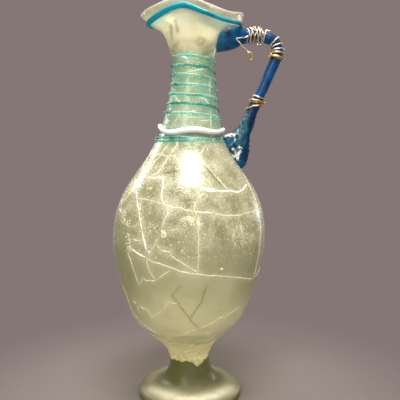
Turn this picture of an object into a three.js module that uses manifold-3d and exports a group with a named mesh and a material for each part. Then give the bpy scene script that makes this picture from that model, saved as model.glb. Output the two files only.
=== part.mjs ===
// A blown glass ewer with an applied foot, glass threads, a blue handle and wire bindings.
// Millimetres. +Z is up, the spout points to -X and the handle is on the +X side.
import * as THREE from 'three';
import { mergeVertices } from 'three/addons/utils/BufferGeometryUtils.js';
import Module from 'manifold-3d';

// Clearance between pieces that touch, and how finely round forms are cut.
const FIT_GAP = 0.3;
const TURNED_SIDES = 32;
const ROWS_PER_SPAN = 2;
const MERGE_DISTANCE = 1e-4;

// Bearings round the handle's rod, where a wire starts.
const OUTER_SIDE = 0;
const NEAR_SIDE = -Math.PI / 2;

// Outside of the body and neck, upwards from the joint with the foot: radius, height, sideways lean.
const BODY = [
  [12.2, 23.7, -0.5],
  [13.4, 28, -0.6],
  [16.5, 33, -1.0],
  [23.7, 40, -1.5],
  [34.0, 50, -1.9],
  [39.9, 62, -1.7],
  [44.4, 78, -1.2],
  [47.8, 98, -0.7],
  [46.4, 116, -0.3],
  [41.5, 130, 0],
  [33.8, 142, 0.1],
  [26.8, 152, 0.1],
  [21.6, 162, 0.3],
  [17.5, 175, 1.0],
  [14.6, 190, 1.9],
  [13.2, 203, 2.1],
  [13.4, 213, 2.1],
];

// Outside of the mouth, from the neck to the lip. Each ring has its radius and height at seven bearings,
// 30 degrees apart, from the handle round to the spout. Both sides of the ewer are alike.
const MOUTH_LEAN = 2;
const MOUTH = [
  {
    radius: [15.9, 15.6, 15.0, 14.2, 14.1, 14.8, 15.4],
    height: [220.5, 220.5, 220.5, 220.5, 220.5, 220.5, 220.5],
  },
  {
    radius: [19.4, 18.4, 16.4, 14.7, 14.9, 17.2, 19.2],
    height: [228.6, 227.4, 228.6, 231.6, 232.6, 229.8, 228.3],
  },
  {
    radius: [29.4, 27.4, 23.2, 17.2, 17.7, 23.0, 27.3],
    height: [233.6, 231.8, 233.4, 238.8, 240.4, 236.4, 233.6],
  },
  {
    radius: [31.5, 29.6, 25.6, 18.6, 19.3, 26.4, 32.2],
    height: [238.8, 235.9, 237.3, 243.2, 244.5, 240.7, 238.2],
  },
];

// Walls.
const BODY_WALL = 1.6;
const LOW_WALL = 2.6;
const LOW_WALL_TOP = 56;
const MOUTH_WALL = 2.1;
const MOUTH_WALL_FROM = 160;
const LIP_RADIUS = 1.3;
const LIP_STEPS = 4;
const INSIDE_FROM_ROW = 4;
const INSIDE_FLOOR = [[15, 42.5], [8, 37.5], [0, 35.5]];
const INSIDE_FLOOR_LEAN = -1.5;

// Foot: radius and height, from the middle of its hollow underside, out and round to its top.
const FOOT_LEAN = -0.2;
const FOOT_TOP = BODY[0][1] - FIT_GAP;
const FOOT_RING = [22.5, 28.5];
const FOOT_UNDERSIDE = [[0, 5.6], [9, 5], [16.5, 2.8], [FOOT_RING[0], 0]];
const FOOT_OUTSIDE = [
  [FOOT_RING[1], 0],
  [31.8, 1],
  [33, 3],
  [31.8, 5.2],
  [27.5, 6.7],
  [21.5, 7.9],
  [17.4, 10.2],
  [14.7, 14],
  [13, 18.4],
  [12.2, FOOT_TOP],
];

// Threads: half their width along the wall and half their rise from it.
const THREAD_SIDES = 6;
const RIM_THREAD = { half: 1.7, rise: 0.8 };
const COLLAR_THREAD = { half: 1.6, rise: 1.4 };
const COLLAR_HEIGHT = [169.3, 166.8, 168.2, 166.4, 171.3];
const NECK_THREAD = { radius: 0.65, sides: 5, stepsPerTurn: 16, tilt: 0.53 };
// Bearings in turns: the coil starts at the spout side, and the loop starts and ends beside the handle.
const NECK_COIL = { start: 0.5, turns: 6.75, top: 213.2, bottom: 174.3 };
const LOWER_COIL = { start: 0.08, turns: 0.84, top: 163.8, bottom: 162.0 };

// Handle, in its own plane: X, height, half its depth in the plane, half its width across.
const HANDLE_SIDES = 12;
const HANDLE_ROWS_PER_SPAN = 2;
const HANDLE = [
  [12, 224.6, 7.6, 6.5],
  [20, 225, 7.6, 7.6],
  [26, 225.8, 7.1, 7.4],
  [30.5, 226.5, 6.0, 5.8],
  [35, 226.4, 4.2, 4.3],
  [42, 226.4, 3.8, 3.9],
  [48, 225.7, 3.5, 3.8],
  [52.6, 223.1, 3.4, 3.8],
  [54.5, 218.4, 3.5, 3.8],
  [54.0, 213, 3.65, 3.8],
  [51, 206, 3.6, 3.8],
  [44.7, 191.7, 3.2, 3.6],
  [39.6, 181.2, 3.7, 4.0],
  [34.8, 169.2, 4.8, 4.8],
  [32.2, 164.8, 6.8, 5.6],
  [30.3, 160, 8.3, 6.2],
  [30.4, 155.6, 7.6, 6.2],
  [30.9, 150.6, 5.8, 5.6],
  [31.3, 146.6, 3.6, 4.2],
  [31.4, 144.4, 1.2, 1.6],
];

// Wire bindings: thickness, the stretch of the handle's rows they cover, and their turns.
const WIRE_RADIUS = 0.45;
const WIRE_SIDES = 4;
const WIRE_STEPS_PER_TURN = 12;
const WIRE_CLEARANCE = WIRE_RADIUS + 2 * FIT_GAP;
const ARCH_BINDING = { from: 4.15, to: 5.6, turns: 5.5 };
const BEND_BINDING = { from: 6.6, to: 8.95, turns: 5.25 };
const MIDDLE_BINDING = { from: 11.15, to: 11.8, turns: 4.25 };
// The loose end of the arch binding, from the handle's near side down to its eye.
const LOOSE_END = [
  [32.5, -7.2, 226.4],
  [29.2, -8.1, 225.4],
  [28.4, -8.6, 223.6],
  [31.2, -8.8, 220.1],
  [32.2, -8.9, 217.6],
  [35.2, -8.9, 215.3],
];
const EYE = { centre: [36.8, -8.9, 212.1], half: [1.3, 2.2], start: 2.4, sweep: 5.2, steps: 7 };

const FINISH = {
  clear: { color: 0xc9cba4, roughness: 0.22, metalness: 0 },
  green: { color: 0x8f8a52, roughness: 0.25, metalness: 0 },
  teal: { color: 0x1b8c92, roughness: 0.2, metalness: 0 },
  aqua: { color: 0x6fb5a0, roughness: 0.25, metalness: 0 },
  pale: { color: 0xf6f2e6, roughness: 0.35, metalness: 0 },
  cobalt: { color: 0x0a3c72, roughness: 0.2, metalness: 0 },
  gold: { color: 0xc8a765, roughness: 0.35, metalness: 1 },
};

const wasm = await Module();
wasm.setup();

// A smooth wave round the axis through values at even bearings from 0 to 180 degrees, mirrored beyond.
function roundTheAxis(values, bearing) {
  const last = values.length - 1;
  const halved = (k) => (k === 0 || k === last ? 0.5 : 1);
  let sum = 0;
  for (let wave = 0; wave <= last; wave++) {
    let weight = 0;
    for (let i = 0; i <= last; i++) {
      weight += halved(i) * values[i] * Math.cos((Math.PI * i * wave) / last);
    }
    sum += (2 / last) * halved(wave) * weight * Math.cos(wave * bearing);
  }
  return sum;
}

// A point of a turned section: x is the radius, y the height, and lean how far its ring is moved along X.
function sectionPoint(radius, height, lean) {
  const point = new THREE.Vector2(radius, height);
  point.lean = lean;
  return point;
}

// The vessel's outside at one bearing, from its joint to its lip, as section points.
function outsideAt(bearing) {
  const mouth = MOUTH.map((ring) => new THREE.Vector3(
    roundTheAxis(ring.radius, bearing),
    roundTheAxis(ring.height, bearing),
    MOUTH_LEAN,
  ));
  const rows = [...BODY.map((row) => new THREE.Vector3(...row)), ...mouth];
  const curve = new THREE.CatmullRomCurve3(rows);
  return curve.getPoints((rows.length - 1) * ROWS_PER_SPAN).map((p) => sectionPoint(p.x, p.y, p.z));
}

// The same section moved along its own normal: outwards for a positive distance.
function moved(points, distanceAt) {
  return points.map((point, i) => {
    const before = points[Math.max(i - 1, 0)];
    const after = points[Math.min(i + 1, points.length - 1)];
    const along = after.clone().sub(before).normalize();
    const distance = distanceAt(point.y);
    return sectionPoint(point.x + along.y * distance, point.y - along.x * distance, point.lean);
  });
}

function wallAt(height) {
  if (height < LOW_WALL_TOP) {
    return LOW_WALL;
  }
  return height < MOUTH_WALL_FROM ? BODY_WALL : MOUTH_WALL;
}

// Turns a section round the axis. The section may change with the bearing.
function turned(sectionAt) {
  const rows = sectionAt(0);
  const geometry = new THREE.LatheGeometry(rows, TURNED_SIDES);
  const position = geometry.attributes.position;
  for (let side = 0; side <= TURNED_SIDES; side++) {
    const bearing = ((side % TURNED_SIDES) * 2 * Math.PI) / TURNED_SIDES;
    sectionAt(bearing).forEach((point, row) => {
      const x = point.x * Math.cos(bearing) + point.lean;
      position.setXYZ(side * rows.length + row, x, point.x * Math.sin(bearing), point.y);
    });
  }
  return geometry;
}

function vesselSection(bearing) {
  const outside = outsideAt(bearing);
  const rim = outside[outside.length - 1];
  const lip = [];
  for (let i = 1; i <= LIP_STEPS; i++) {
    const turn = (Math.PI * i) / LIP_STEPS;
    const radius = rim.x - LIP_RADIUS + LIP_RADIUS * Math.cos(turn);
    lip.push(sectionPoint(radius, rim.y + LIP_RADIUS * Math.sin(turn), rim.lean));
  }
  const inside = moved(outside, (height) => -wallAt(height))
    .filter((point, i) => i % ROWS_PER_SPAN === 0 && i >= INSIDE_FROM_ROW * ROWS_PER_SPAN)
    .slice(0, -1)
    .reverse();
  const floor = INSIDE_FLOOR.map(([radius, height]) => sectionPoint(radius, height, INSIDE_FLOOR_LEAN));
  const axis = sectionPoint(0, outside[0].y, outside[0].lean);
  return [axis, ...outside, ...lip, ...inside, ...floor];
}

// The space that the vessel and its hollow take up, grown by the fit gap. The handle is cut by it.
function vesselSpace(bearing) {
  const outside = moved(outsideAt(bearing), () => FIT_GAP);
  const top = outside[outside.length - 1];
  const bottom = outside[0];
  return [sectionPoint(0, bottom.y, bottom.lean), ...outside, sectionPoint(0, top.y, top.lean)];
}

function footSection() {
  const top = [0, FOOT_TOP];
  return [...FOOT_UNDERSIDE, ...FOOT_OUTSIDE, top].map(([radius, height]) => (
    sectionPoint(radius, height, FOOT_LEAN)
  ));
}

// Where the vessel's outside is at one height of the neck or body.
function outsideAtHeight(height) {
  const points = outsideAt(0);
  const i = points.findIndex((point) => point.y > height);
  const [below, above] = [points[i - 1], points[i]];
  const share = (height - below.y) / (above.y - below.y);
  return {
    radius: THREE.MathUtils.lerp(below.x, above.x, share),
    lean: THREE.MathUtils.lerp(below.lean, above.lean, share),
    slope: above.clone().sub(below).normalize(),
  };
}

// The section of a thread that lies on the wall: an oval with its back to the wall, grown all round if asked.
function threadSection(radius, height, lean, slope, thread, grow = 0) {
  const points = [];
  for (let i = 0; i <= THREAD_SIDES; i++) {
    const turn = ((i % THREAD_SIDES) * 2 * Math.PI) / THREAD_SIDES;
    const out = FIT_GAP + thread.rise + (thread.rise + grow) * Math.cos(turn);
    const up = (thread.half + grow) * Math.sin(turn);
    points.push(sectionPoint(
      radius + slope.y * out + slope.x * up,
      height - slope.x * out + slope.y * up,
      lean,
    ));
  }
  return points;
}

function rimThreadSection(bearing, grow = 0) {
  const outside = outsideAt(bearing);
  const row = outside.length - 1 - ROWS_PER_SPAN;
  const at = outside[row];
  const slope = outside[row + 1].clone().sub(outside[row - 1]).normalize();
  return threadSection(at.x, at.y, at.lean, slope, RIM_THREAD, grow);
}

function collarSection(bearing) {
  const height = roundTheAxis(COLLAR_HEIGHT, bearing);
  const { radius, lean, slope } = outsideAtHeight(height);
  return threadSection(radius, height, lean, slope, COLLAR_THREAD);
}

function curveThrough(pointAt) {
  const curve = new THREE.Curve();
  curve.getPoint = (t, target = new THREE.Vector3()) => target.copy(pointAt(t));
  return curve;
}

function roundShape(radius, sides) {
  const points = [];
  for (let i = 0; i < sides; i++) {
    const turn = (i * 2 * Math.PI) / sides;
    points.push(new THREE.Vector2(radius * Math.cos(turn), radius * Math.sin(turn)));
  }
  return new THREE.Shape(points);
}

// A thread wound round the neck. It goes down from the spout side by the near side to the handle side.
function neckCoil(coil) {
  const path = curveThrough((t) => {
    const turn = (coil.start + t * coil.turns) * 2 * Math.PI;
    const height = THREE.MathUtils.lerp(coil.top, coil.bottom, t) - NECK_THREAD.tilt * Math.cos(turn);
    const { radius, lean } = outsideAtHeight(height);
    const out = (radius + FIT_GAP + NECK_THREAD.radius) / Math.cos(Math.PI / NECK_THREAD.stepsPerTurn);
    return new THREE.Vector3(lean + out * Math.cos(turn), out * Math.sin(turn), height);
  });
  return new THREE.ExtrudeGeometry(roundShape(NECK_THREAD.radius, NECK_THREAD.sides), {
    steps: Math.round(coil.turns * NECK_THREAD.stepsPerTurn),
    extrudePath: path,
  });
}

const handlePath = new THREE.CatmullRomCurve3(HANDLE.map(([x, z]) => new THREE.Vector3(x, 0, z)));
const handleSizes = new THREE.CatmullRomCurve3(
  HANDLE.map(([, , depth, width]) => new THREE.Vector3(depth, width, 0)),
);

// The handle's centre, its two directions across and its half sizes, at a row number of its table.
function handleAt(row) {
  const t = row / (HANDLE.length - 1);
  const along = handlePath.getTangent(t);
  const size = handleSizes.getPoint(t);
  return {
    centre: handlePath.getPoint(t),
    inPlane: new THREE.Vector3(along.z, 0, -along.x),
    across: new THREE.Vector3(0, 1, 0),
    depth: size.x,
    width: size.y,
  };
}

function handlePoint(row, turn, clearance) {
  const { centre, inPlane, across, depth, width } = handleAt(row);
  return centre.clone()
    .addScaledVector(inPlane, (depth + clearance) * Math.cos(turn))
    .addScaledVector(across, (width + clearance) * Math.sin(turn));
}

// The bare handle before it is cut to the vessel: an oval section carried along its path.
function handleBlank() {
  const rows = (HANDLE.length - 1) * HANDLE_ROWS_PER_SPAN;
  const profile = [new THREE.Vector2(0, 0)];
  for (let i = 0; i <= rows; i++) {
    profile.push(new THREE.Vector2(1, i));
  }
  profile.push(new THREE.Vector2(0, rows));
  const geometry = new THREE.LatheGeometry(profile, HANDLE_SIDES);
  const position = geometry.attributes.position;
  for (let side = 0; side <= HANDLE_SIDES; side++) {
    const turn = ((side % HANDLE_SIDES) * 2 * Math.PI) / HANDLE_SIDES;
    profile.forEach((point, i) => {
      const row = point.y / HANDLE_ROWS_PER_SPAN;
      const at = point.x === 0 ? handleAt(row).centre : handlePoint(row, turn, 0);
      position.setXYZ(side * profile.length + i, at.x, at.y, at.z);
    });
  }
  return geometry;
}

// A closed mesh as a solid that can be cut.
function solidOf(geometry) {
  const bare = geometry.clone();
  bare.deleteAttribute('normal');
  bare.deleteAttribute('uv');
  const merged = mergeVertices(bare, MERGE_DISTANCE);
  const index = merged.index.array;
  const triangles = [];
  for (let i = 0; i < index.length; i += 3) {
    const [a, b, c] = [index[i], index[i + 1], index[i + 2]];
    if (a !== b && b !== c && a !== c) {
      triangles.push(a, b, c);
    }
  }
  return new wasm.Manifold(new wasm.Mesh({
    numProp: 3,
    vertProperties: Float32Array.from(merged.attributes.position.array),
    triVerts: Uint32Array.from(triangles),
  }));
}

function geometryOf(solid) {
  const mesh = solid.getMesh();
  const geometry = new THREE.BufferGeometry();
  geometry.setAttribute('position', new THREE.BufferAttribute(mesh.vertProperties, 3));
  geometry.setIndex(new THREE.BufferAttribute(mesh.triVerts, 1));
  geometry.computeVertexNormals();
  return geometry;
}

function wireAlong(path, steps) {
  return new THREE.ExtrudeGeometry(roundShape(WIRE_RADIUS, WIRE_SIDES), { steps, extrudePath: path });
}

// Points of a wire wound round the handle, from one row of its table to another.
function windingPoints(winding, startTurn) {
  const steps = Math.round(winding.turns * WIRE_STEPS_PER_TURN);
  const points = [];
  for (let i = 0; i <= steps; i++) {
    const row = THREE.MathUtils.lerp(winding.from, winding.to, i / steps);
    const turn = startTurn + (i / steps) * winding.turns * 2 * Math.PI;
    points.push(handlePoint(row, turn, WIRE_CLEARANCE));
  }
  return points;
}

function binding(winding) {
  const points = windingPoints(winding, OUTER_SIDE);
  return wireAlong(new THREE.CatmullRomCurve3(points), points.length - 1);
}

// The arch binding with its loose end: the eye comes first, then the way up to the handle, then the turns.
function archBinding() {
  const eye = [];
  for (let i = 0; i <= EYE.steps; i++) {
    const turn = EYE.start - (EYE.sweep * (EYE.steps - i)) / EYE.steps;
    const [x, y, z] = EYE.centre;
    eye.push(new THREE.Vector3(x + EYE.half[0] * Math.cos(turn), y, z + EYE.half[1] * Math.sin(turn)));
  }
  const loose = LOOSE_END.map((point) => new THREE.Vector3(...point)).reverse();
  const turns = windingPoints(ARCH_BINDING, NEAR_SIDE);
  const points = [...eye, ...loose, ...turns.slice(1)];
  const finerSteps = points.length + EYE.steps + 1;
  return wireAlong(new THREE.CatmullRomCurve3(points), finerSteps);
}

function piece(name, geometry, finish) {
  const mesh = new THREE.Mesh(geometry, new THREE.MeshStandardMaterial(FINISH[finish]));
  mesh.name = name;
  return mesh;
}

const threadSpace = turned((bearing) => rimThreadSection(bearing, FIT_GAP));
const handle = geometryOf(
  solidOf(handleBlank()).subtract(solidOf(turned(vesselSpace))).subtract(solidOf(threadSpace)),
);

const ewer = new THREE.Group();
ewer.add(
  piece('vessel', turned(vesselSection), 'clear'),
  piece('foot', turned(footSection), 'green'),
  piece('rim_thread', turned((bearing) => rimThreadSection(bearing)), 'teal'),
  piece('neck_thread', neckCoil(NECK_COIL), 'aqua'),
  piece('neck_thread_lower', neckCoil(LOWER_COIL), 'aqua'),
  piece('collar_thread', turned(collarSection), 'pale'),
  piece('handle', handle, 'cobalt'),
  piece('wire_binding_arch', archBinding(), 'gold'),
  piece('wire_binding_bend', binding(BEND_BINDING), 'gold'),
  piece('wire_binding_middle', binding(MIDDLE_BINDING), 'gold'),
);

// The origin is under the middle of the whole ewer, on the surface that it stands on.
const middle = new THREE.Box3().setFromObject(ewer).getCenter(new THREE.Vector3());
ewer.position.set(-middle.x, -middle.y, 0);

export default ewer;
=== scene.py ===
import math
import random

import bpy
import numpy as np
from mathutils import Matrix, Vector
from mathutils.bvhtree import BVHTree
from mathutils.kdtree import KDTree


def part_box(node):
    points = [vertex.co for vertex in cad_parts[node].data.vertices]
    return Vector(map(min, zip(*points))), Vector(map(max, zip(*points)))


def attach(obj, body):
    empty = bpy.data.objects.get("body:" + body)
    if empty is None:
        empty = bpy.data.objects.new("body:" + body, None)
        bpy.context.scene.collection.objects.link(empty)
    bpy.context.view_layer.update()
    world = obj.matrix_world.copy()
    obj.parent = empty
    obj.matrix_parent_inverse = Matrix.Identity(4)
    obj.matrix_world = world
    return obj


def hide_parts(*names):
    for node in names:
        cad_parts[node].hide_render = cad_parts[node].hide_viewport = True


MM = 0.001
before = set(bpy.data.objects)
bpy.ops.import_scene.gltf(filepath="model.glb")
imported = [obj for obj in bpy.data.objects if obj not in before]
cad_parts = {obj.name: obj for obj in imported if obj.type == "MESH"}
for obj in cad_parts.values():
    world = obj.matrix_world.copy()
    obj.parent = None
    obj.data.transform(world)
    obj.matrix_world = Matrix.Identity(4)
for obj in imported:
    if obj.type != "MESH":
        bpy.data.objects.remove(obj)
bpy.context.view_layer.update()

# The foot stands 0.2 mm to the spout's side of the axis that all lengths below are measured from.
FOOT_LEAN = -0.2
foot_low, foot_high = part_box("foot")
AXIS = np.array([(foot_low.x + foot_high.x) / 2 - FOOT_LEAN * MM, 0.0, 0.0])

# Outside of the body and neck, upwards from the joint with the foot: radius, height, sideways lean.
BODY = [
    (12.2, 23.7, -0.5), (13.4, 28, -0.6), (16.5, 33, -1.0), (23.7, 40, -1.5), (34.0, 50, -1.9),
    (39.9, 62, -1.7), (44.4, 78, -1.2), (47.8, 98, -0.7), (46.4, 116, -0.3), (41.5, 130, 0),
    (33.8, 142, 0.1), (26.8, 152, 0.1), (21.6, 162, 0.3), (17.5, 175, 1.0), (14.6, 190, 1.9),
    (13.2, 203, 2.1), (13.4, 213, 2.1),
]
# Outside of the mouth at seven bearings, 30 degrees apart, from the handle round to the spout.
MOUTH_LEAN = 2
MOUTH = [
    ((15.9, 15.6, 15.0, 14.2, 14.1, 14.8, 15.4), (220.5,) * 7),
    ((19.4, 18.4, 16.4, 14.7, 14.9, 17.2, 19.2), (228.6, 227.4, 228.6, 231.6, 232.6, 229.8, 228.3)),
    ((29.4, 27.4, 23.2, 17.2, 17.7, 23.0, 27.3), (233.6, 231.8, 233.4, 238.8, 240.4, 236.4, 233.6)),
    ((31.5, 29.6, 25.6, 18.6, 19.3, 26.4, 32.2), (238.8, 235.9, 237.3, 243.2, 244.5, 240.7, 238.2)),
]
# Rows of the outside, counted up from the body's first: its last row, and the one under the rim's thread.
TOP_ROW = len(BODY) + len(MOUTH) - 1
THREAD_ROW = TOP_ROW - 1
BODY_WALL = 1.6
LOW_WALL = 2.6
MOUTH_WALL = 2.1
# Heights between which the thick low wall gives way to the body's, and that to the mouth's.
WALL_THINS = (48, 66)
WALL_THICKENS = (152, 170)
LIP_RADIUS = 1.3
INSIDE_FLOOR = [(15, 42.5), (8, 37.5), (0, 35.5)]
INSIDE_FLOOR_LEAN = -1.5
JOINT_HEIGHT = 23.6

FOOT_UNDERSIDE = [(0, 5.6), (9, 5), (16.5, 2.8), (22.5, 0)]
FOOT_OUTSIDE = [
    (28.5, 0), (31.8, 1), (33, 3), (31.8, 5.2), (27.5, 6.7), (21.5, 7.9), (17.4, 10.2), (14.7, 14),
    (13, 18.4), (12.2, 23.4),
]

# Threads: half their width along the wall and half their rise from it.
RIM_THREAD = (1.7, 0.8)
COLLAR_THREAD = (1.4, 1.2)
# The collar's height at five bearings, from the handle round to the spout.
COLLAR_HEIGHT = (168.3, 166.0, 167.2, 166.1, 170.8)
# Neck trails: where they start and how far they run, in turns, and their heights.
NECK_COIL = {"start": 0.5, "turns": 6.75, "top": 213.2, "bottom": 174.3}
LOWER_COIL = {"start": 0.08, "turns": 0.84, "top": 163.8, "bottom": 162.0}
COIL_TILT = 0.53
THREAD_SIDES = 16

# Handle, in its own plane: X, height, half its depth in the plane, half its width across.
HANDLE = [
    (12, 224.6, 7.6, 6.5), (20, 225, 7.6, 7.6), (26, 225.8, 7.1, 7.4), (30.5, 226.5, 6.0, 5.8),
    (35, 226.4, 4.2, 4.3), (42, 226.4, 3.8, 3.9), (48, 225.7, 3.5, 3.8), (52.6, 223.1, 3.4, 3.8),
    (54.5, 218.4, 3.5, 3.8), (54.0, 213, 3.65, 3.8), (51, 206, 3.6, 3.8), (44.7, 191.7, 3.2, 3.6),
    (39.6, 181.2, 3.7, 4.0), (34.8, 169.2, 4.8, 4.8), (32.4, 164.8, 6.8, 5.6), (30.3, 160, 8.3, 6.2),
    (30.4, 155.6, 7.6, 6.2), (30.9, 150.6, 6.0, 5.6), (31.3, 146.8, 4.2, 4.5), (31.3, 144.4, 1.8, 2.2),
]

WIRE_RADIUS = 0.42
WIRE_STEP = 0.35
LOOSE_END = [
    (34.2, -5.4, 224.5), (32.2, -7.2, 223.9), (30.0, -8.4, 223.4), (28.3, -8.8, 223.0), (28.9, -8.9, 221.8),
    (30.4, -8.9, 220.4), (31.9, -8.9, 218.1), (32.8, -8.9, 217.3), (33.9, -8.9, 216.7), (34.9, -8.9, 215.5),
]
EYE_CENTRE = (36.6, -8.9, 212.4)
EYE_HALF = (1.3, 2.4)
EYE_TILT = 0.25
EYE_STEPS = 20
# The turn round the handle at which its outer side lies.
OUTER_SIDE = math.pi

# The camera stands straight in front of the axis, a little above the ewer's middle.
CAMERA_DISTANCE = 317
CAMERA_HEIGHT = 146
CAMERA_LENS = 45
CAMERA_SENSOR = 36
CAMERA_PITCH = math.atan(34 / 500)
CAMERA_YAW = math.atan(10 / 500)
PICTURE = 400


def srgb(red, green, blue):
    """A screen colour, 0 to 255, as the linear colour that nodes take."""
    def linear(value):
        share = value / 255
        return share / 12.92 if share <= 0.04045 else ((share + 0.055) / 1.055) ** 2.4
    return (linear(red), linear(green), linear(blue), 1.0)


def spline(points, t):
    """A centripetal Catmull-Rom curve through the points. t runs from 0 to their number less one."""
    p = np.asarray(points, float)
    padded = np.vstack([2 * p[0] - p[1], p, 2 * p[-1] - p[-2]])
    t = np.clip(np.asarray(t, float), 0, len(p) - 1)
    span = np.minimum(t.astype(int), len(p) - 2)
    w = (t - span)[:, None]
    a, b, c, d = (padded[span + k] for k in range(4))

    def knot(u, v):
        return np.sqrt(np.maximum(np.linalg.norm(v - u, axis=1, keepdims=True), 1e-9))

    s0, s1, s2 = knot(a, b), knot(b, c), knot(c, d)
    m1 = ((b - a) / s0 - (c - a) / (s0 + s1) + (c - b) / s1) * s1
    m2 = ((c - b) / s1 - (d - b) / (s1 + s2) + (d - c) / s2) * s1
    return b + m1 * w + (-3 * b + 3 * c - 2 * m1 - m2) * w**2 + (2 * b - 2 * c + m1 + m2) * w**3


def evenly(points, count):
    """The t values of a spline at even steps of length."""
    t = np.linspace(0, len(points) - 1, 40 * len(points))
    steps = np.linalg.norm(np.diff(spline(points, t), axis=0), axis=1)
    length = np.concatenate([[0], np.cumsum(steps)])
    return np.interp(np.linspace(0, length[-1], count), length, t)


def unit(vectors):
    return vectors / np.linalg.norm(vectors, axis=1, keepdims=True)


def bearings(count):
    """Even bearings round a whole turn, from 0."""
    return 2 * math.pi * np.arange(count) / count


def from_ends(count):
    """How many steps each point of a row is from the nearer end."""
    return np.minimum(np.arange(count), np.arange(count)[::-1])


def smooth(low, high, value):
    """0 below low, 1 above high and a smooth step between."""
    share = np.clip((value - low) / (high - low), 0, 1)
    return share * share * (3 - 2 * share)


LATTICE = np.random.default_rng(11).random(4096) * 2 - 1


def waves(points, size):
    """Smooth random bumps from -1 to 1, about one size apart."""
    q = np.asarray(points, float) / size
    cell = np.floor(q).astype(int)
    w = q - cell
    w = w * w * (3 - 2 * w)
    total = 0
    for corner in range(8):
        step = np.array([corner & 1, corner >> 1 & 1, corner >> 2 & 1])
        i, j, k = (cell + step).T
        weight = np.prod(np.where(step, w, 1 - w), axis=1)
        total = total + weight * LATTICE[(i * 73 ^ j * 157 ^ k * 311) & 4095]
    return total


def bumps(points, *layers):
    """A sum of waves, each of a height and a size."""
    return sum(height * waves(points, size) for height, size in layers)


def round_the_axis(values, bearing):
    """A smooth wave through values at even bearings from 0 to 180 degrees, alike on both sides."""
    last = len(values) - 1
    halved = np.ones(last + 1)
    halved[[0, last]] = 0.5
    sites = math.pi * np.arange(last + 1) / last
    total = 0
    for k in range(last + 1):
        weight = np.sum(halved * np.asarray(values) * np.cos(k * sites))
        total += 2 / last * halved[k] * weight * math.cos(k * bearing)
    return total


def outside_rows(bearing):
    """The rows of the vessel's outside at one bearing: radius, height, lean."""
    mouth = [
        (round_the_axis(radius, bearing), round_the_axis(height, bearing), MOUTH_LEAN)
        for radius, height in MOUTH
    ]
    return np.array(BODY + mouth, float)


def moved(section, distance):
    """A section moved along its own normal, outwards for a positive distance."""
    along = unit(np.gradient(section[:, :2], axis=0))
    out = section.copy()
    out[:, 0] += along[:, 1] * distance
    out[:, 1] -= along[:, 0] * distance
    return out


def wall_at(height):
    low = LOW_WALL + (BODY_WALL - LOW_WALL) * smooth(*WALL_THINS, height)
    return low + (MOUTH_WALL - BODY_WALL) * smooth(*WALL_THICKENS, height)


def outside_at(bearing, height):
    """Radius, lean and direction of the outside at one height of the body or neck."""
    section = spline(outside_rows(bearing), np.linspace(0, TOP_ROW, 401))
    radius = np.interp(height, section[:, 1], section[:, 0])
    lean = np.interp(height, section[:, 1], section[:, 2])
    above = np.interp(height + 0.5, section[:, 1], section[:, 0])
    slope = np.array([above - radius, 0.5])
    return radius, lean, slope / np.linalg.norm(slope)


def in_space(section, bearing):
    """The points of a section's rows of radius, height and lean, at one bearing."""
    x = section[:, 0] * math.cos(bearing) + section[:, 2]
    return np.stack([x, section[:, 0] * math.sin(bearing), section[:, 1]], axis=1)


def two_across(direction, hint):
    """Two directions square to one and to each other."""
    first = np.cross(direction, hint)
    first /= np.linalg.norm(first)
    return first, np.cross(direction, first)


def mesh_piece(name, points, faces, material):
    """A smooth mesh in the shared frame, from points in millimetres round the axis."""
    mesh = bpy.data.meshes.new(name)
    place = np.asarray(points, float) * MM + AXIS
    mesh.from_pydata(place.tolist(), [], [list(map(int, face)) for face in faces])
    mesh.validate()
    mesh.materials.append(material)
    mesh.polygons.foreach_set("use_smooth", [True] * len(mesh.polygons))
    mesh.update()
    piece = bpy.data.objects.new(name, mesh)
    bpy.context.scene.collection.objects.link(piece)
    return piece


def mount(piece, node):
    """The piece rides the one body and stands for its solid, which is hidden."""
    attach(piece, "root")
    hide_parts(node)


def set_values(piece, **values):
    """Values at a piece's points, by the names that its material reads."""
    for name, value in values.items():
        data = piece.data.attributes.new(name, "FLOAT", "POINT").data
        data.foreach_set("value", value.astype(np.float32))


def tube_faces(rings, sides):
    """Quads of a tube of rings, with a fan at each end round one point. Ring points come first."""
    faces = []
    for ring in range(rings - 1):
        for side in range(sides):
            a = ring * sides + side
            b = ring * sides + (side + 1) % sides
            faces.append((a, b, b + sides, a + sides))
    first = rings * sides
    top = first - sides
    for side in range(sides):
        after = (side + 1) % sides
        faces.append((first, after, side))
        faces.append((first + 1, top + side, top + after))
    return faces


def tube(path, out, half_out, half_side, sides):
    """Points and faces of a closed tube along a path. out is its direction away from what carries it."""
    along = unit(np.gradient(path, axis=0))
    out = unit(out - np.sum(out * along, axis=1, keepdims=True) * along)
    side = np.cross(along, out)
    half_out = np.broadcast_to(half_out, len(path))
    half_side = np.broadcast_to(half_side, len(path))
    turn = bearings(sides)
    rings = (
        path[:, None]
        + out[:, None] * (half_out[:, None] * np.cos(turn))[..., None]
        + side[:, None] * (half_side[:, None] * np.sin(turn))[..., None]
    )
    points = np.vstack([rings.reshape(-1, 3), path[0], path[-1]])
    return points, tube_faces(len(path), sides)


def joined(parts):
    """Several lists of points and faces as one."""
    points, faces, count = [], [], 0
    for more_points, more_faces in parts:
        points.append(more_points)
        faces += [tuple(i + count for i in face) for face in more_faces]
        count += len(more_points)
    return np.vstack(points), faces


class Output:
    """An output of a shader node. A sum, difference or product with it is a maths node."""

    def __init__(self, tree, socket):
        self.tree = tree
        self.socket = socket

    def maths(self, operation, other=0.0):
        return add_node(self.tree, "ShaderNodeMath", {0: self, 1: other}, operation=operation)

    def __add__(self, other):
        return self.maths("ADD", other)

    def __sub__(self, other):
        return self.maths("SUBTRACT", other)

    def __mul__(self, other):
        return self.maths("MULTIPLY", other)


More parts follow.
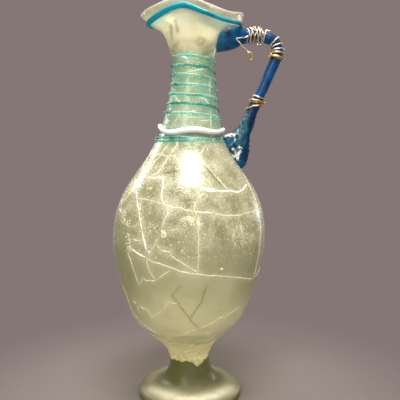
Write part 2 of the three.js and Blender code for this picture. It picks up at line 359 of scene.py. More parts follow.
def add_node(tree, kind, inputs=None, output=0, **settings):
    """One output of a new shader node. An input that is an Output is linked, and any other is set."""
    node = tree.nodes.new(kind)
    for key, value in settings.items():
        setattr(node, key, value)
    for key, value in (inputs or {}).items():
        if isinstance(value, Output):
            tree.links.new(value.socket, node.inputs[key])
        else:
            node.inputs[key].default_value = value
    return Output(tree, node.outputs[output])


def ramp(value, low, high, low_to=0.0, high_to=1.0):
    return add_node(value.tree, "ShaderNodeMapRange", {
        "Value": value, "From Min": low, "From Max": high, "To Min": low_to, "To Max": high_to,
    }, interpolation_type="SMOOTHSTEP")


def blended(share, first, second):
    """A colour between two, by a share from 0 to 1."""
    return add_node(share.tree, "ShaderNodeMix", {0: share, 6: first, 7: second}, output=2, data_type="RGBA")


def bumped(height, distance, strength, under=None):
    inputs = {"Height": height, "Distance": distance, "Strength": strength}
    if under is not None:
        inputs["Normal"] = under
    return add_node(height.tree, "ShaderNodeBump", inputs)


class Look:
    """A material of one Principled shader with plain values, and the nodes that vary its surface.
    Where shadow is a colour, light falls through the material with that tint."""

    def __init__(self, name, values, shadow=None):
        self.material = bpy.data.materials.new(name)
        self.material.use_nodes = True
        self.tree = self.material.node_tree
        self.tree.nodes.clear()
        self.shader = self.add("BsdfPrincipled", values)
        self.end = self.tree.nodes.new("ShaderNodeOutputMaterial")
        self.tree.links.new(self.shader.socket, self.end.inputs["Surface"])
        self.place = self.add("TexCoord", output="Object")
        if shadow:
            self.clear_by(self.add("LightPath", output="Is Shadow Ray"), shadow)

    def add(self, kind, inputs=None, output=0, **settings):
        return add_node(self.tree, "ShaderNode" + kind, inputs, output, **settings)

    def clear_by(self, share, tint):
        """Makes the surface see-through with a tint, by a share."""
        clear = self.add("BsdfTransparent", {"Color": tint})
        mixed = self.add("MixShader", {0: share, 1: self.shader, 2: clear})
        self.tree.links.new(mixed.socket, self.end.inputs["Surface"])

    def noise(self, scale, detail=4.0, roughness=0.55, stretch=None):
        """A noise texture's value, with its scale in bumps per metre."""
        place = self.add("Mapping", {"Vector": self.place, "Scale": stretch}) if stretch else self.place
        return self.add("TexNoise", {
            "Vector": place, "Scale": scale, "Detail": detail, "Roughness": roughness,
        })

    def attribute(self, name):
        return self.add("Attribute", output="Fac", attribute_name=name)

    def finish(self, colour, roughness, normal):
        for name, value in (("Base Color", colour), ("Roughness", roughness), ("Normal", normal)):
            self.tree.links.new(value.socket, self.shader.socket.node.inputs[name])
        return self.material


CLEAR_GLASS = srgb(176, 175, 138)
MILKY_GLASS = srgb(250, 246, 218)
OLIVE_GLASS = srgb(192, 194, 144)
TAN_GLASS = srgb(230, 228, 198)
MILKY_NECK = srgb(222, 240, 222)
NECK_GLASS = srgb(204, 207, 172)
NECK_AQUA = srgb(116, 176, 160)
RIM_AQUA = srgb(206, 246, 238)
CREAM_GLASS = srgb(255, 251, 232)
STAINED_CREAM = srgb(250, 244, 214)
CRUST = srgb(255, 247, 208)
DULL_CRUST = srgb(222, 212, 160)
NECK_SEAM = srgb(224, 244, 230)
STAIN = srgb(132, 124, 78)


def vessel_material():
    look = Look("weathered_clear_glass", {
        "Transmission Weight": 0.6, "IOR": 1.45, "Coat Weight": 0.36, "Coat Roughness": 0.21,
        "Sheen Weight": 0.15, "Sheen Roughness": 0.35, "Sheen Tint": (1.0, 0.97, 0.86, 1),
    }, shadow=(0.60, 0.59, 0.51, 1))
    mottled = look.attribute("mottled")
    edge = look.attribute("olive")
    neck = look.attribute("neck")
    broad = look.noise(45, 3)
    haze = ramp(look.noise(105, 4, 0.6), 0.36, 0.66)
    grain = look.noise(850, 3, 0.6)
    specks = ramp(grain, 0.52, 0.62)
    # Thin curls, where a noise crosses its middle value.
    curls = ramp((look.noise(240, 3, 0.5) - 0.5).maths("ABSOLUTE"), 0.008, 0.06, 1.0, 0.0)
    streaks = look.noise(160, 4, 0.6, stretch=(1, 1, 0.25))

    milk = haze * 0.36 + specks * 0.42
    milk = milk + curls * ramp(broad, 0.4, 0.6) * 0.40
    milk = milk + ramp(streaks, 0.48, 0.68) * 0.22
    milk = milk * mottled
    lower = blended(ramp(broad, 0.3, 0.7, 0.0, 0.5), TAN_GLASS, OLIVE_GLASS)
    # Painted shade: the sides of the body, as seen from the front, are turned olive.
    lower = blended(edge, lower, OLIVE_GLASS)
    clear = blended(edge * 0.6, CLEAR_GLASS, OLIVE_GLASS)
    clear = blended(mottled, lower, clear)
    clear = blended(neck, clear, NECK_GLASS)
    colour = blended(milk, clear, blended(neck, MILKY_GLASS, MILKY_NECK))
    smear = look.attribute("aqua") * ramp(streaks, 0.30, 0.62, 0.5, 1.0)
    colour = blended(smear, colour, NECK_AQUA)
    # Cream of the weathered mouth; the same colour also paints a glow low on the body and a sheen on the
    # right shoulder.
    cream = blended(ramp(look.noise(130, 4, 0.6), 0.40, 0.60), STAINED_CREAM, CREAM_GLASS)
    colour = blended(look.attribute("cream"), colour, cream)
    colour = blended(look.attribute("rim_glow"), colour, RIM_AQUA)
    glow = look.attribute("crack_glow") * ramp(grain, 0.35, 0.6, 0.5, 1.0)
    colour = blended(glow, colour, MILKY_GLASS)
    crust = look.attribute("crust") * ramp(grain, 0.38, 0.58, 0.5, 1.0)
    crusty = blended(ramp(look.noise(420, 3), 0.40, 0.58), DULL_CRUST, CRUST)
    colour = blended(crust, colour, crusty)
    # Brown stains, with painted shade in the spout's creases and along the dark shadow lines.
    colour = blended(look.attribute("stain"), colour, STAIN)

    roughness = ramp(milk, 0.0, 0.9, 0.16, 0.36) + crust * 0.3
    pits = (grain + curls * 0.5) * (mottled * 0.92 + crust * 0.5 + 0.08)
    return look.finish(colour, roughness, bumped(pits, 0.0005, 0.22, bumped(haze, 0.0008, 0.12)))


def foot_material():
    look = Look("green_foot_glass", {
        "Transmission Weight": 0.2, "IOR": 1.48, "Coat Weight": 0.25, "Coat Roughness": 0.45,
    }, shadow=(0.42, 0.42, 0.30, 1))
    grain = look.noise(380, 2)
    colour = blended(ramp(look.noise(60, 3), 0.35, 0.65), srgb(115, 117, 79), srgb(132, 130, 91))
    patchy = ramp(look.noise(170, 4, 0.6), 0.36, 0.60, 0.82, 1.0)
    # Painted highlight: a pale band of light across the foot, mixed into its colour.
    colour = blended(look.attribute("bloom") * patchy, colour, srgb(255, 250, 222))
    colour = blended(look.attribute("deep"), colour, srgb(105, 110, 57))
    return look.finish(colour, ramp(grain, 0.35, 0.7, 0.32, 0.42), bumped(grain, 0.0003, 0.08))


def trail_material(name, deep, pale, transmission, scale, roughness, bump, shadow=None, spots=None):
    """Glass of a thread, with a colour that thins and thickens along it."""
    look = Look(name, {"Transmission Weight": transmission, "IOR": 1.48}, shadow)
    grain = look.noise(700, 4)
    colour = blended(ramp(look.noise(scale, 4) + look.attribute("thin"), 0.41, 0.55), deep, pale)
    if spots:
        colour = blended(ramp(look.noise(scale * 1.3, 2), 0.60, 0.68), colour, spots)
    return look.finish(colour, ramp(grain, 0.3, 0.7, *roughness), bumped(grain, 0.0003, bump))


def handle_material():
    look = Look("cobalt_glass", {"Transmission Weight": 0.12, "IOR": 1.45})
    streaks = look.noise(150, 5, 0.65, stretch=(1, 1, 0.4))
    grain = look.noise(650, 5, 0.6)
    crizzled = look.attribute("crizzled")
    tilted = look.add("Mapping", {"Vector": look.place, "Rotation": (0, 0.45, 0), "Scale": (1, 1, 0.6)})
    shards = look.add("TexVoronoi", {"Vector": tilted, "Scale": 850.0}, output="Color")
    shard = look.add("SeparateColor", {0: shards})
    colour = blended(ramp(streaks, 0.36, 0.66), srgb(0, 44, 92), srgb(0, 92, 146))
    colour = blended(look.attribute("navy"), colour, srgb(0, 36, 66))
    colour = blended(look.attribute("teal"), colour, srgb(0, 112, 146))
    chips = blended(ramp(shard, 0.1, 0.6), srgb(6, 54, 74), srgb(48, 104, 116))
    bright = look.attribute("sparkle") + (shard - 1.0)
    chips = blended(ramp(bright, -0.08, 0.0), chips, srgb(250, 255, 252))
    colour = blended(crizzled * ramp(grain, 0.30, 0.44), colour, chips)
    roughness = ramp(grain, 0.3, 0.7, 0.24, 0.40) + crizzled * -0.1
    relief = (grain + shard * crizzled * 1.5) * (crizzled * 1.5 + 0.3)
    return look.finish(colour, roughness, bumped(relief, 0.0005, 0.5))


def wire_material():
    look = Look("gold_wire", {"Metallic": 1.0})
    scratches = look.noise(1500, 3)
    colour = blended(ramp(look.noise(220, 4), 0.42, 0.66), srgb(255, 252, 244), srgb(238, 206, 142))
    colour = blended(look.attribute("gold"), colour, srgb(236, 200, 136))
    return look.finish(colour, ramp(scratches, 0.3, 0.7, 0.34, 0.55), bumped(scratches, 0.0001, 0.3))


def seam_material(name, colour, other, transmission):
    """Glass and filler at the edges of the broken pieces."""
    look = Look(name, {"Transmission Weight": transmission, "IOR": 1.45}, shadow=(0.9, 0.9, 0.8, 1))
    grain = look.noise(600, 4)
    mixed = blended(ramp(grain, 0.35, 0.65), colour, other)
    mixed = blended(look.attribute("neck"), mixed, NECK_SEAM)
    return look.finish(mixed, ramp(grain, 0.3, 0.7, 0.25, 0.5), bumped(grain, 0.0004, 0.5))


def add_camera():
    data = bpy.data.cameras.new("camera")
    data.lens = CAMERA_LENS
    data.sensor_width = CAMERA_SENSOR
    data.clip_start = 0.01
    camera = bpy.data.objects.new("camera", data)
    camera.location = Vector((0, -CAMERA_DISTANCE, CAMERA_HEIGHT)) * MM + Vector(AXIS)
    camera.rotation_euler = (math.pi / 2 - CAMERA_PITCH, 0, -CAMERA_YAW)
    bpy.context.scene.collection.objects.link(camera)
    bpy.context.scene.camera = camera
    bpy.context.view_layer.update()


LIGHT_TARGET = (AXIS[0], 0, 0.13)


def add_light(name, place, size, power, high=1.0, glossy=True):
    """A soft light, in metres and watts, aimed at the ewer's middle. Its height is high times its size."""
    data = bpy.data.lights.new(name, "AREA")
    data.shape = "ELLIPSE"
    data.size = size
    data.size_y = size * high
    data.energy = power
    data.color = (1, 0.99, 0.96)
    light = bpy.data.objects.new(name, data)
    light.location = place
    light.rotation_euler = (Vector(LIGHT_TARGET) - Vector(place)).to_track_quat("-Z", "Y").to_euler()
    light.visible_camera = False
    light.visible_glossy = glossy
    bpy.context.scene.collection.objects.link(light)


WALL_GREY = srgb(132, 119, 118)
FLOOR_GREY = srgb(122, 113, 108)
# The floor fades out between these distances from its middle, in metres.
FLOOR_FADE = (0.075, 0.19)
FLOOR_RADIUS = 0.3
FLOOR_DROP = 0.00002


def add_studio():
    """A plain pale floor that fades into a plain grey surround, with soft light from above."""
    world = bpy.data.worlds.new("surround")
    world.use_nodes = True
    world.node_tree.nodes["Background"].inputs["Color"].default_value = WALL_GREY
    bpy.context.scene.world = world

    bpy.ops.mesh.primitive_circle_add(vertices=96, radius=FLOOR_RADIUS, fill_type="NGON")
    floor = bpy.context.object
    floor.name = "floor"
    floor.location = (AXIS[0], 0, -FLOOR_DROP)
    look = Look("pale_floor", {"Base Color": FLOOR_GREY, "Roughness": 0.6})
    distance = look.add("VectorMath", {0: look.place}, output="Value", operation="LENGTH")
    look.clear_by(ramp(distance, *FLOOR_FADE), (1, 1, 1, 1))
    floor.data.materials.append(look.material)

    add_light("key", (AXIS[0] + 0.03, -0.33, 1.02), 0.55, 10.5, 0.45)
    add_light("front", (-0.40, -0.72, 0.62), 0.35, 1.7)
    add_light("low_front", (AXIS[0] + 0.1, -0.85, 0.05), 0.6, 2.4, glossy=False)
    add_light("back_left", (AXIS[0] - 0.57, 0.45, 0.50), 0.10, 0.8)
    add_light("back_right", (AXIS[0] + 0.65, 0.51, 0.19), 0.2, 0.5)
    add_light("back_top", (AXIS[0] - 0.02, 0.38, 0.95), 0.7, 4.0, 0.25)
    bpy.context.scene.view_settings.view_transform = "Standard"


SIDES = 192
STEM_TOP = 42
STEM_SPACING = 0.55
BODY_SPACING = 1.0
CRUSTY_TO = (44, 34)
# How far from the joint its jags still tell, in the vessel and in the foot.
VESSEL_JAGS = (29, 23.7)
FOOT_JAGS = (17, 23.4)
LEAST_RADIUS = 0.05
# The broken joint of stem and foot dips: bearing and half breadth in degrees, and depth in mm.
JOINT_DIP = (296, 16, 2.4)
# And it ripples: size in mm, number of waves round the axis and start.
JOINT_RIPPLES = ((0.55, 3, 0.8), (0.35, 7, 0), (0.2, 17, 0))
# The vessel's inside follows its outside down to this row, and then INSIDE_FLOOR.
INSIDE_LOW_ROW = 4
LIP_STEPS = 8


def joint_jag(bearing):
    """How far the broken joint of stem and foot runs up or down from level, in mm."""
    middle, half, depth = JOINT_DIP
    dip = depth * math.exp(-((math.degrees(bearing) % 360 - middle) / half) ** 2)
    return sum(size * math.sin(count * bearing + start) for size, count, start in JOINT_RIPPLES) - dip


def outside_samples():
    """t values of the outside, closer together on the crusty stem."""
    t = np.linspace(0, TOP_ROW, 4001)
    section = spline(outside_rows(0.0), t)
    step = np.linalg.norm(np.diff(section[:, :2], axis=0), axis=1)
    spacing = np.where(section[1:, 1] < STEM_TOP, STEM_SPACING, BODY_SPACING)
    count = np.concatenate([[0], np.cumsum(step / spacing)])
    return np.interp(np.linspace(0, count[-1], int(count[-1]) + 1), count, t)


def undulation(points, crusty):
    """Small unevenness of blown glass, with a crusted stem."""
    rough = smooth(*CRUSTY_TO, points[:, 2]) * bumps(points, (0.34, 1.9), (0.20, 1.0))
    return bumps(points, (0.16, 17), (0.07, 7), (0.03, 2.6)) + crusty * rough


def vessel_mesh():
    t = outside_samples()
    inside_t = np.linspace(TOP_ROW, INSIDE_LOW_ROW, 130)[1:]
    lip_turn = np.pi * np.arange(1, LIP_STEPS) / LIP_STEPS
    sections = []
    for bearing in bearings(SIDES):
        outside = spline(outside_rows(bearing), t)
        outside[:, 1] += joint_jag(bearing) * smooth(*VESSEL_JAGS, outside[:, 1])
        outside = moved(outside, undulation(in_space(outside, bearing), 1.0))
        rim = outside[-1]
        lip = np.stack([
            rim[0] - LIP_RADIUS + LIP_RADIUS * np.cos(lip_turn),
            rim[1] + LIP_RADIUS * np.sin(lip_turn),
            np.full(len(lip_turn), rim[2]),
        ], axis=1)
        inside = spline(outside_rows(bearing), inside_t)[::-1]
        inside = moved(inside, undulation(in_space(inside, bearing), 0.0) - wall_at(inside[:, 1]))[::-1]
        floor_rows = [inside[-1]] + [(r, z, INSIDE_FLOOR_LEAN) for r, z in INSIDE_FLOOR]
        floor = spline(floor_rows, np.linspace(0, len(INSIDE_FLOOR), 26))[1:-1]
        sections.append(np.vstack([outside, lip, inside, floor]))
    turn = bearings(SIDES)
    grid = np.stack(sections)
    grid[:, :, 0] = np.maximum(grid[:, :, 0], LEAST_RADIUS)
    x = grid[:, :, 0] * np.cos(turn)[:, None] + grid[:, :, 2]
    y = grid[:, :, 0] * np.sin(turn)[:, None]
    points = np.stack([x, y, grid[:, :, 1]], axis=2).transpose(1, 0, 2).reshape(-1, 3)
    ends = [(BODY[0][2], 0, JOINT_HEIGHT + 0.1), (INSIDE_FLOOR_LEAN, 0, INSIDE_FLOOR[-1][1])]
    return np.vstack([points, ends]), tube_faces(len(sections[0]), SIDES)


# Photo pixels of the cracks, as read off: half their width in mm, then the points.
# The cracks that stand out white, then the fainter ones, then the dark ones. A few white and pale lines are
# painted highlights, and a few dark ones painted shadow lines.
BRIGHT_CRACKS = [
    # Painted highlight: this first line is a streak of light down the left shoulder, drawn as a white seam.
    (1.15, [(144, 165), (141, 174), (138.5, 182), (137, 189)]),
    (0.75, [(137, 189), (136.2, 195), (137, 199)]),
    (0.62, [(137.5, 204), (139, 213)]),
    (1.05, [(142.3, 231), (143.5, 240), (145, 247), (147, 252)]),
    (0.95, [(146.5, 251), (149.5, 252), (147.5, 256)]),
    (0.72, [(130.5, 247.5), (133, 250.5), (137, 253.5), (142, 256), (146.5, 257.5)]),
    (0.62, [(163.5, 176), (163, 183), (162.5, 190), (161.5, 196), (162, 201), (164.5, 204.3)]),
    (1.10, [(158.5, 178.8), (162, 178.8), (165.5, 177)]),
    (0.55, [(148, 176.5), (154, 178.3), (160, 177.5), (166, 177.5)]),
    (1.50, [(203, 186), (207, 189.5), (212, 190.5), (218, 191)]),
    (1.90, [(201, 188.5), (204.5, 189.5), (208, 190.5)]),
    (0.62, [(216, 191), (225, 191.7), (232, 191), (237, 192.8), (241, 191), (244.5, 188.5), (247, 184)]),
    (0.75, [(204, 193), (200.5, 196.5), (198.5, 199)]),
    (0.60, [(195, 211), (201, 212.5), (207, 212.8), (214, 213.3)]),
    (0.70, [(198.5, 217), (198.5, 221), (198, 226)]),
    (0.62, [(192, 269.5), (195, 271.2), (197.5, 273)]),
    (0.50, [(181, 271.7), (190, 273.3)]),
    (0.62, [(160.5, 249.5), (163.5, 251.5), (166, 252), (169.5, 251.8)]),
    (0.70, [(133.6, 300.8), (136, 303.8)]),
    (0.70, [(137, 306), (138.6, 309.3)]),
    (0.60, [(139.5, 305.7), (142, 308), (146, 309.5)]),
    (0.50, [(217, 320), (221, 318), (225, 316.5)]),
    (0.75, [(122, 199), (120.8, 204)]),
    (0.75, [(119.8, 208), (121, 213)]),
    (0.55, [(132.6, 239.3), (136, 240.3), (139, 240.6)]),
]
PALE_CRACKS = [
    (0.85, [(139, 213), (140, 220), (141.3, 228), (142.3, 231)]),
    (0.70, [(137, 199), (137.8, 206), (139, 213)]),
    (0.45, [(253.5, 278.8), (255, 272), (257.5, 262), (259.5, 250), (260.3, 240), (260.8, 230), (260.3, 220),
            (258.8, 212)]),
    (0.38, [(169.3, 209), (167.5, 214), (165, 219), (162.8, 225), (161.5, 230)]),
    (0.38, [(159, 237), (155.5, 243), (154, 246), (151.5, 250), (149, 253)]),
    (0.42, [(155, 244), (158.5, 247.5), (160.5, 249.5)]),
    (0.42, [(169.5, 251.8), (171.5, 256), (177, 260), (183, 263.5), (188, 267), (192, 269.5)]),
    (0.42, [(198, 273), (198, 268), (198.5, 262), (199, 254), (198.5, 246), (198.5, 238), (198, 230),
            (198.3, 226)]),
    (0.40, [(198.5, 217), (196, 214), (194.5, 210), (195, 205), (198.5, 199)]),
    (0.35, [(139, 240.6), (143.5, 241)]),
    (0.30, [(137.5, 199), (142, 199), (148, 200), (153, 201), (158, 202.5), (163, 204)]),
    (0.50, [(162, 201), (164, 204), (168, 206), (173, 207.5), (180, 208), (185, 210), (195, 211)]),
    (0.45, [(214, 213.3), (220, 215), (230, 215.5), (238, 215.5), (244, 214), (249, 213), (255, 211.5),
            (258.5, 211)]),
    (0.50, [(178, 137), (177.5, 141), (176.5, 146), (172, 152), (171, 155)]),
    (0.30, [(171, 155), (176, 158), (179, 163), (180, 167)]),
    (0.40, [(171, 155), (166, 156), (160, 154.5), (154, 154), (150, 153)]),
    (0.50, [(171, 155), (167, 159), (164, 164), (161, 168), (157, 173), (150, 176.5)]),
    (0.42, [(168, 145), (164, 150), (160, 156), (155, 161), (151, 167), (148, 172)]),
    (0.42, [(163, 141), (158, 148), (153, 155), (151, 159)]),
    (0.40, [(156, 143), (151.5, 151), (147, 159), (142.5, 167)]),
    (0.55, [(132.5, 189), (131, 192), (127, 197), (123, 201)]),
    (0.16, [(131, 206), (127, 208), (123.5, 212), (122.5, 216)]),
    (0.16, [(124.5, 214), (124.5, 221), (128, 225), (131, 227)]),
    (0.20, [(138, 225), (134, 226.5), (131, 228)]),
    (0.42, [(129.5, 250.5), (128, 254), (130, 258), (132, 265), (135, 273), (137, 280), (139, 285)]),
    (0.35, [(139, 285), (141, 282), (143.3, 278)]),
    (0.42, [(146.5, 258), (147.5, 266), (150, 272), (152.5, 276), (156.5, 280)]),
    (0.55, [(143.5, 277.5), (145, 280), (150, 280.7), (154, 280.8), (157, 279.7)]),
    (0.30, [(157, 279.7), (161, 276.5), (166, 273), (170, 270.5)]),
    (0.42, [(146, 309.5), (149, 313), (152, 317), (154, 316), (158, 313), (162, 311)]),
    (0.26, [(162, 311), (165, 306), (170, 302)]),
    (0.38, [(170, 302), (173, 303.5), (177, 303.5)]),
    (0.42, [(200, 328.8), (208, 325), (217, 320)]),
    (0.40, [(225, 316.5), (231, 313), (236, 309.5), (241, 305.5)]),
    (0.28, [(200, 329), (193, 331), (186, 332.5), (181, 333)]),
    (0.30, [(203.5, 162), (208, 167), (213, 173), (217.5, 178.5), (221, 182), (225, 187), (229, 191)]),
    (0.35, [(214.5, 165), (215.5, 168), (217, 170)]),
    # Painted highlight: a pale line of light along the right edge of the shoulder.
    (0.45, [(243, 173), (246.5, 180), (251, 189), (255, 198), (257.5, 206), (258.5, 211)]),
    (0.40, [(206, 145), (203, 150), (201, 154)]),
    (0.35, [(208.5, 146), (207, 151)]),
    (0.38, [(213, 137), (213.5, 142), (216, 146)]),
    (0.35, [(181, 219.5), (186, 217), (189, 216), (193, 219)]),
    (0.28, [(168, 231), (173, 230), (178, 229)]),
    (0.30, [(234, 231), (233, 238), (236, 247)]),
    (0.30, [(241, 224), (241.5, 232), (244, 238)]),
    (0.30, [(250, 238), (253, 235), (256, 238)]),
    (0.42, [(122.5, 286), (125, 291), (127.5, 298), (130, 305), (133, 312), (137, 317.5), (142, 322.5),
            (148, 327.5), (156, 333)]),
    (0.50, [(173.5, 94), (176, 98), (179.5, 102), (183, 105)]),
    (0.40, [(183, 103.3), (190, 103.6), (199, 104)]),
    (0.60, [(200, 99), (204, 98.5), (207, 101.5), (210, 105)]),
    (0.30, [(180, 110), (179, 115), (176, 120), (173, 125)]),
    (0.30, [(210.5, 78), (210, 86), (209.6, 95)]),
    (0.32, [(210.5, 112), (210.8, 120), (211.3, 129)]),
    (0.35, [(182, 117.3), (192, 117), (205, 118.2)]),
    # Painted highlight: a short white glint on the front of the neck.
    (0.80, [(190, 111.3), (196, 111)]),
    (0.45, [(187, 60), (188, 64)]),
    (0.85, [(179.5, 55.8), (184, 57.5), (189, 59)]),
    (0.40, [(187, 71.6), (197, 70.3), (206, 68)]),
    (0.40, [(172, 112.5), (181, 112), (188, 113)]),
    (0.45, [(200, 120.5), (206, 121), (210, 120)]),
]
# The lower edge of the upper, more weathered pieces.
DIVISION = [(146.5, 257.5), (149, 260), (155, 262.5), (162, 264.5), (168, 266.5), (174, 269), (181, 271.7),
            (190, 273.3), (199, 274.5), (209, 275.8), (220, 276.2), (232, 277.2), (242, 278), (253.5, 278.8)]
DARK_CRACKS = [
    (0.16, [(180, 286), (176, 291), (173, 295), (175, 300), (178, 303), (181, 308), (184, 311), (187, 315),
            (190.5, 320), (195, 324.5), (199.5, 329)]),
    (0.16, [(206, 285), (205, 290), (203, 297), (201, 303), (197, 308), (194, 313), (190.5, 319.5)]),
    # Painted shadow: a dark line below a raised edge, along a crack.
    (0.32, [(163.5, 173), (170, 172), (176, 171.2), (181, 170)]),
    (0.36, [(204, 165.8), (210, 172), (217, 180.6), (221, 185), (225, 189.2)]),
    # Painted shadow: a dark line at the edge of the white crack patch.
    (0.24, [(200, 182.3), (204, 185.5), (206, 188.5)]),
    (0.16, [(196, 98), (198, 101), (200, 103.3)]),
]
# Soft brown marks in the glass of the mouth, and how strong each is. The first two are painted shade in the
# creases of the pinched spout.
STAINS = [
    # Painted shade: this and the next line are the dark creases of the pinched spout.
    (0.8, [(171.5, 26), (171, 32), (172, 38)]),
    (0.8, [(175.5, 22), (176.5, 27), (177.5, 31)]),
    (0.5, [(178, 43), (174, 47), (173, 52)]),
    (0.6, [(194, 40), (197, 42), (199, 39), (203, 38.5), (205, 40)]),
    (0.6, [(198, 44), (201, 44.5), (203, 42)]),
    (0.5, [(205, 48), (210, 46), (213, 44)]),
    (0.5, [(202, 56), (208, 52), (214, 50)]),
    (0.25, [(176, 40), (185, 40.5), (195, 40.3)]),
    (0.5, [(198, 3), (203, 4.5), (208, 7)]),
]
# Cracks of the side that the photo doesn't show: half width, then bearing in degrees and height.
BACK_CRACKS = [
    (0.45, [(190, 98.5), (172, 98), (150, 96), (128, 99), (104, 93), (80, 94), (56, 89),
            (30, 86), (6, 85), (-12, 82), (-26, 79)]),
    (0.36, [(100, 93), (96, 112), (102, 128), (92, 146)]),
    (0.36, [(56, 89), (48, 108), (60, 124), (52, 140)]),
    (0.34, [(96, 112), (72, 116), (48, 108)]),
    (0.34, [(150, 96), (142, 118), (150, 134)]),
    (0.36, [(128, 99), (120, 80), (134, 62), (122, 50)]),
    (0.34, [(30, 86), (38, 70), (30, 56)]),
    (0.30, [(142, 118), (102, 128)]),
]


# Where a pixel misses the vessel, the point nearest to this far along its ray is taken, in metres.
NEAR_SIDE_DISTANCE = 0.31
CLEAR_OF_BODY = 0.1
CRACK_STEP = 0.7
CRACK_JITTER = 0.13
SEAM_TAPER = 2.5


class Surface:
    """The vessel's surface, to set cracks, bubbles and grains on."""

    def __init__(self, points, faces):
        place = np.asarray(points) * MM + AXIS
        self.tree = BVHTree.FromPolygons(place.tolist(), [tuple(map(int, face)) for face in faces])
        self.camera = bpy.context.scene.camera.matrix_world.copy()

    def to_mm(self, place):
        return (np.array(place) - AXIS) / MM

    def at_pixel(self, x, y):
        """The near side's point and normal, in mm, that show at a pixel of the 400 pixel picture."""
        focal = CAMERA_LENS / CAMERA_SENSOR * PICTURE
        ray = Vector((x - PICTURE / 2, PICTURE / 2 - y, -focal)).normalized()
        ray = self.camera.to_3x3() @ ray
        place, normal, _, _ = self.tree.ray_cast(self.camera.translation, ray)
        if place is None:
            place, normal, _, _ = self.tree.find_nearest(self.camera.translation + ray * NEAR_SIDE_DISTANCE)
        return self.to_mm(place), np.array(normal)

    def at_bearing(self, degrees, height):
        turn = math.radians(degrees)
        out = Vector((math.cos(turn), math.sin(turn), 0))
        start = Vector(AXIS) + out * CLEAR_OF_BODY + Vector((0, 0, height * MM))
        place, normal, _, _ = self.tree.ray_cast(start, -out)
        return self.to_mm(place), np.array(normal)

    def nearest(self, point):
        place, normal, _, _ = self.tree.find_nearest(Vector(np.asarray(point) * MM + AXIS))
        return self.to_mm(place), np.array(normal)


def crack_path(surface, points, rng):
    """Points along a crack or painted line on the surface, wandering a little, and the way out of the glass
    at each.
    """
    length = np.linalg.norm(np.diff(points, axis=0), axis=1).sum()
    count = max(int(length / CRACK_STEP), 6)
    path = spline(points, evenly(points, count))
    jitter = np.array([[rng.gauss(0, CRACK_JITTER) for _ in range(3)] for _ in range(count)])
    found = [surface.nearest(point) for point in path + jitter]
    return np.array([place for place, _ in found]), np.array([normal for _, normal in found])


def seam(half_width, path, out, rng, proud):
    """A thin raised seam along a crack or painted highlight line, thinning at its ends."""
    share = np.linspace(0, 1, len(path))
    taper = np.clip(np.minimum(share, 1 - share) * len(path) * CRACK_STEP / SEAM_TAPER, 0.3, 1)
    uneven = np.array([rng.uniform(0.55, 1.3) for _ in range(len(path))])
    return tube(path, out, proud * taper, half_width * taper * uneven, 6)


def find_cracks(surface):
    """Half width, path and way out of every crack, painted highlight or shadow line and stain, by kind."""
    rng = random.Random(4)
    kinds = {
        "bright": BRIGHT_CRACKS,
        "pale": PALE_CRACKS + [(0.45, DIVISION)],
        "dark": DARK_CRACKS,
        "stain": STAINS,
    }
    found = {}
    for kind, lines in kinds.items():
        found[kind] = []
        for width, pixels in lines:
            points = np.array([surface.at_pixel(*pixel)[0] for pixel in pixels])
            found[kind].append((width, *crack_path(surface, points, rng)))
    for width, places in BACK_CRACKS:
        points = np.array([surface.at_bearing(*place)[0] for place in places])
        found["pale"].append((width, *crack_path(surface, points, rng)))
    return found


def closeness(points, lines, reach, weighted=False):
    """1 on a line and falling to 0 away from it, over about twice the reach in mm."""
    places = [(place, width) for width, path, _ in lines for place in path]
    tree = KDTree(len(places))
    for index, (place, _) in enumerate(places):
        tree.insert(Vector(place), index)
    tree.balance()
    values = np.zeros(len(points))
    for row, point in enumerate(points):
        _, index, distance = tree.find(Vector(point))
        values[row] = math.exp(-(distance / reach) ** 2) * (places[index][1] if weighted else 1)
    return values


# Heights in mm over which each part of the vessel's look comes in, or goes out where the first is greater.
NECK_FROM = (160, 164)
NECK_TO = (218, 213)
NECK_SEAMS_FROM = (162, 166)
CALM_NECK_FROM = (162, 168)
CALM_MOUTH_FROM = (208, 222)
UNDER_COLLAR_FROM = (160.5, 162.5)
UNDER_COLLAR_TO = (168.5, 166.5)
CREAM_MOUTH_FROM = (212, 224)
RIM_GLOW_FROM = (214, 224)
CREAM_LOW_FROM = (36, 44)
CREAM_LOW_TO = (78, 55)
SHOULDER_FROM = (140, 150)
SHOULDER_TO = (163, 159)
CRUST_TO = (43, 35)
OLIVE_EDGE_FROM = (40, 55)
BODY_RADIUS = 46


def seam_piece(name, parts, material):
    points, faces = joined(parts)
    piece = mesh_piece(name, points, faces, material)
    z = points[:, 2]
    set_values(piece, neck=smooth(*NECK_SEAMS_FROM, z) * smooth(*NECK_TO, z))
    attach(piece, "root")


# Name, how far the seam stands proud in mm, its share of the crack's width, two colours and transmission.
SEAM_LOOKS = {
    "bright": ("crack_highlights", 0.20, 1.0, srgb(255, 254, 242), srgb(252, 247, 224), 0.0),
    "pale": ("crack_seams", 0.13, 0.82, srgb(254, 251, 230), srgb(246, 240, 208), 0.1),
    "dark": ("crack_shadows", 0.10, 1.0, srgb(110, 98, 60), srgb(138, 126, 84), 0.2),
}


def add_cracks(cracks):
    rng = random.Random(5)
    for kind, (name, proud, share, *glass) in SEAM_LOOKS.items():
        parts = [seam(share * width, path, out, rng, proud) for width, path, out in cracks[kind]]
        seam_piece(name, parts, seam_material(name, *glass))


SLANT = (0.3, 0.5, 0.81)
BEAD_FLATNESS = 0.5
RING_POINTS = 13


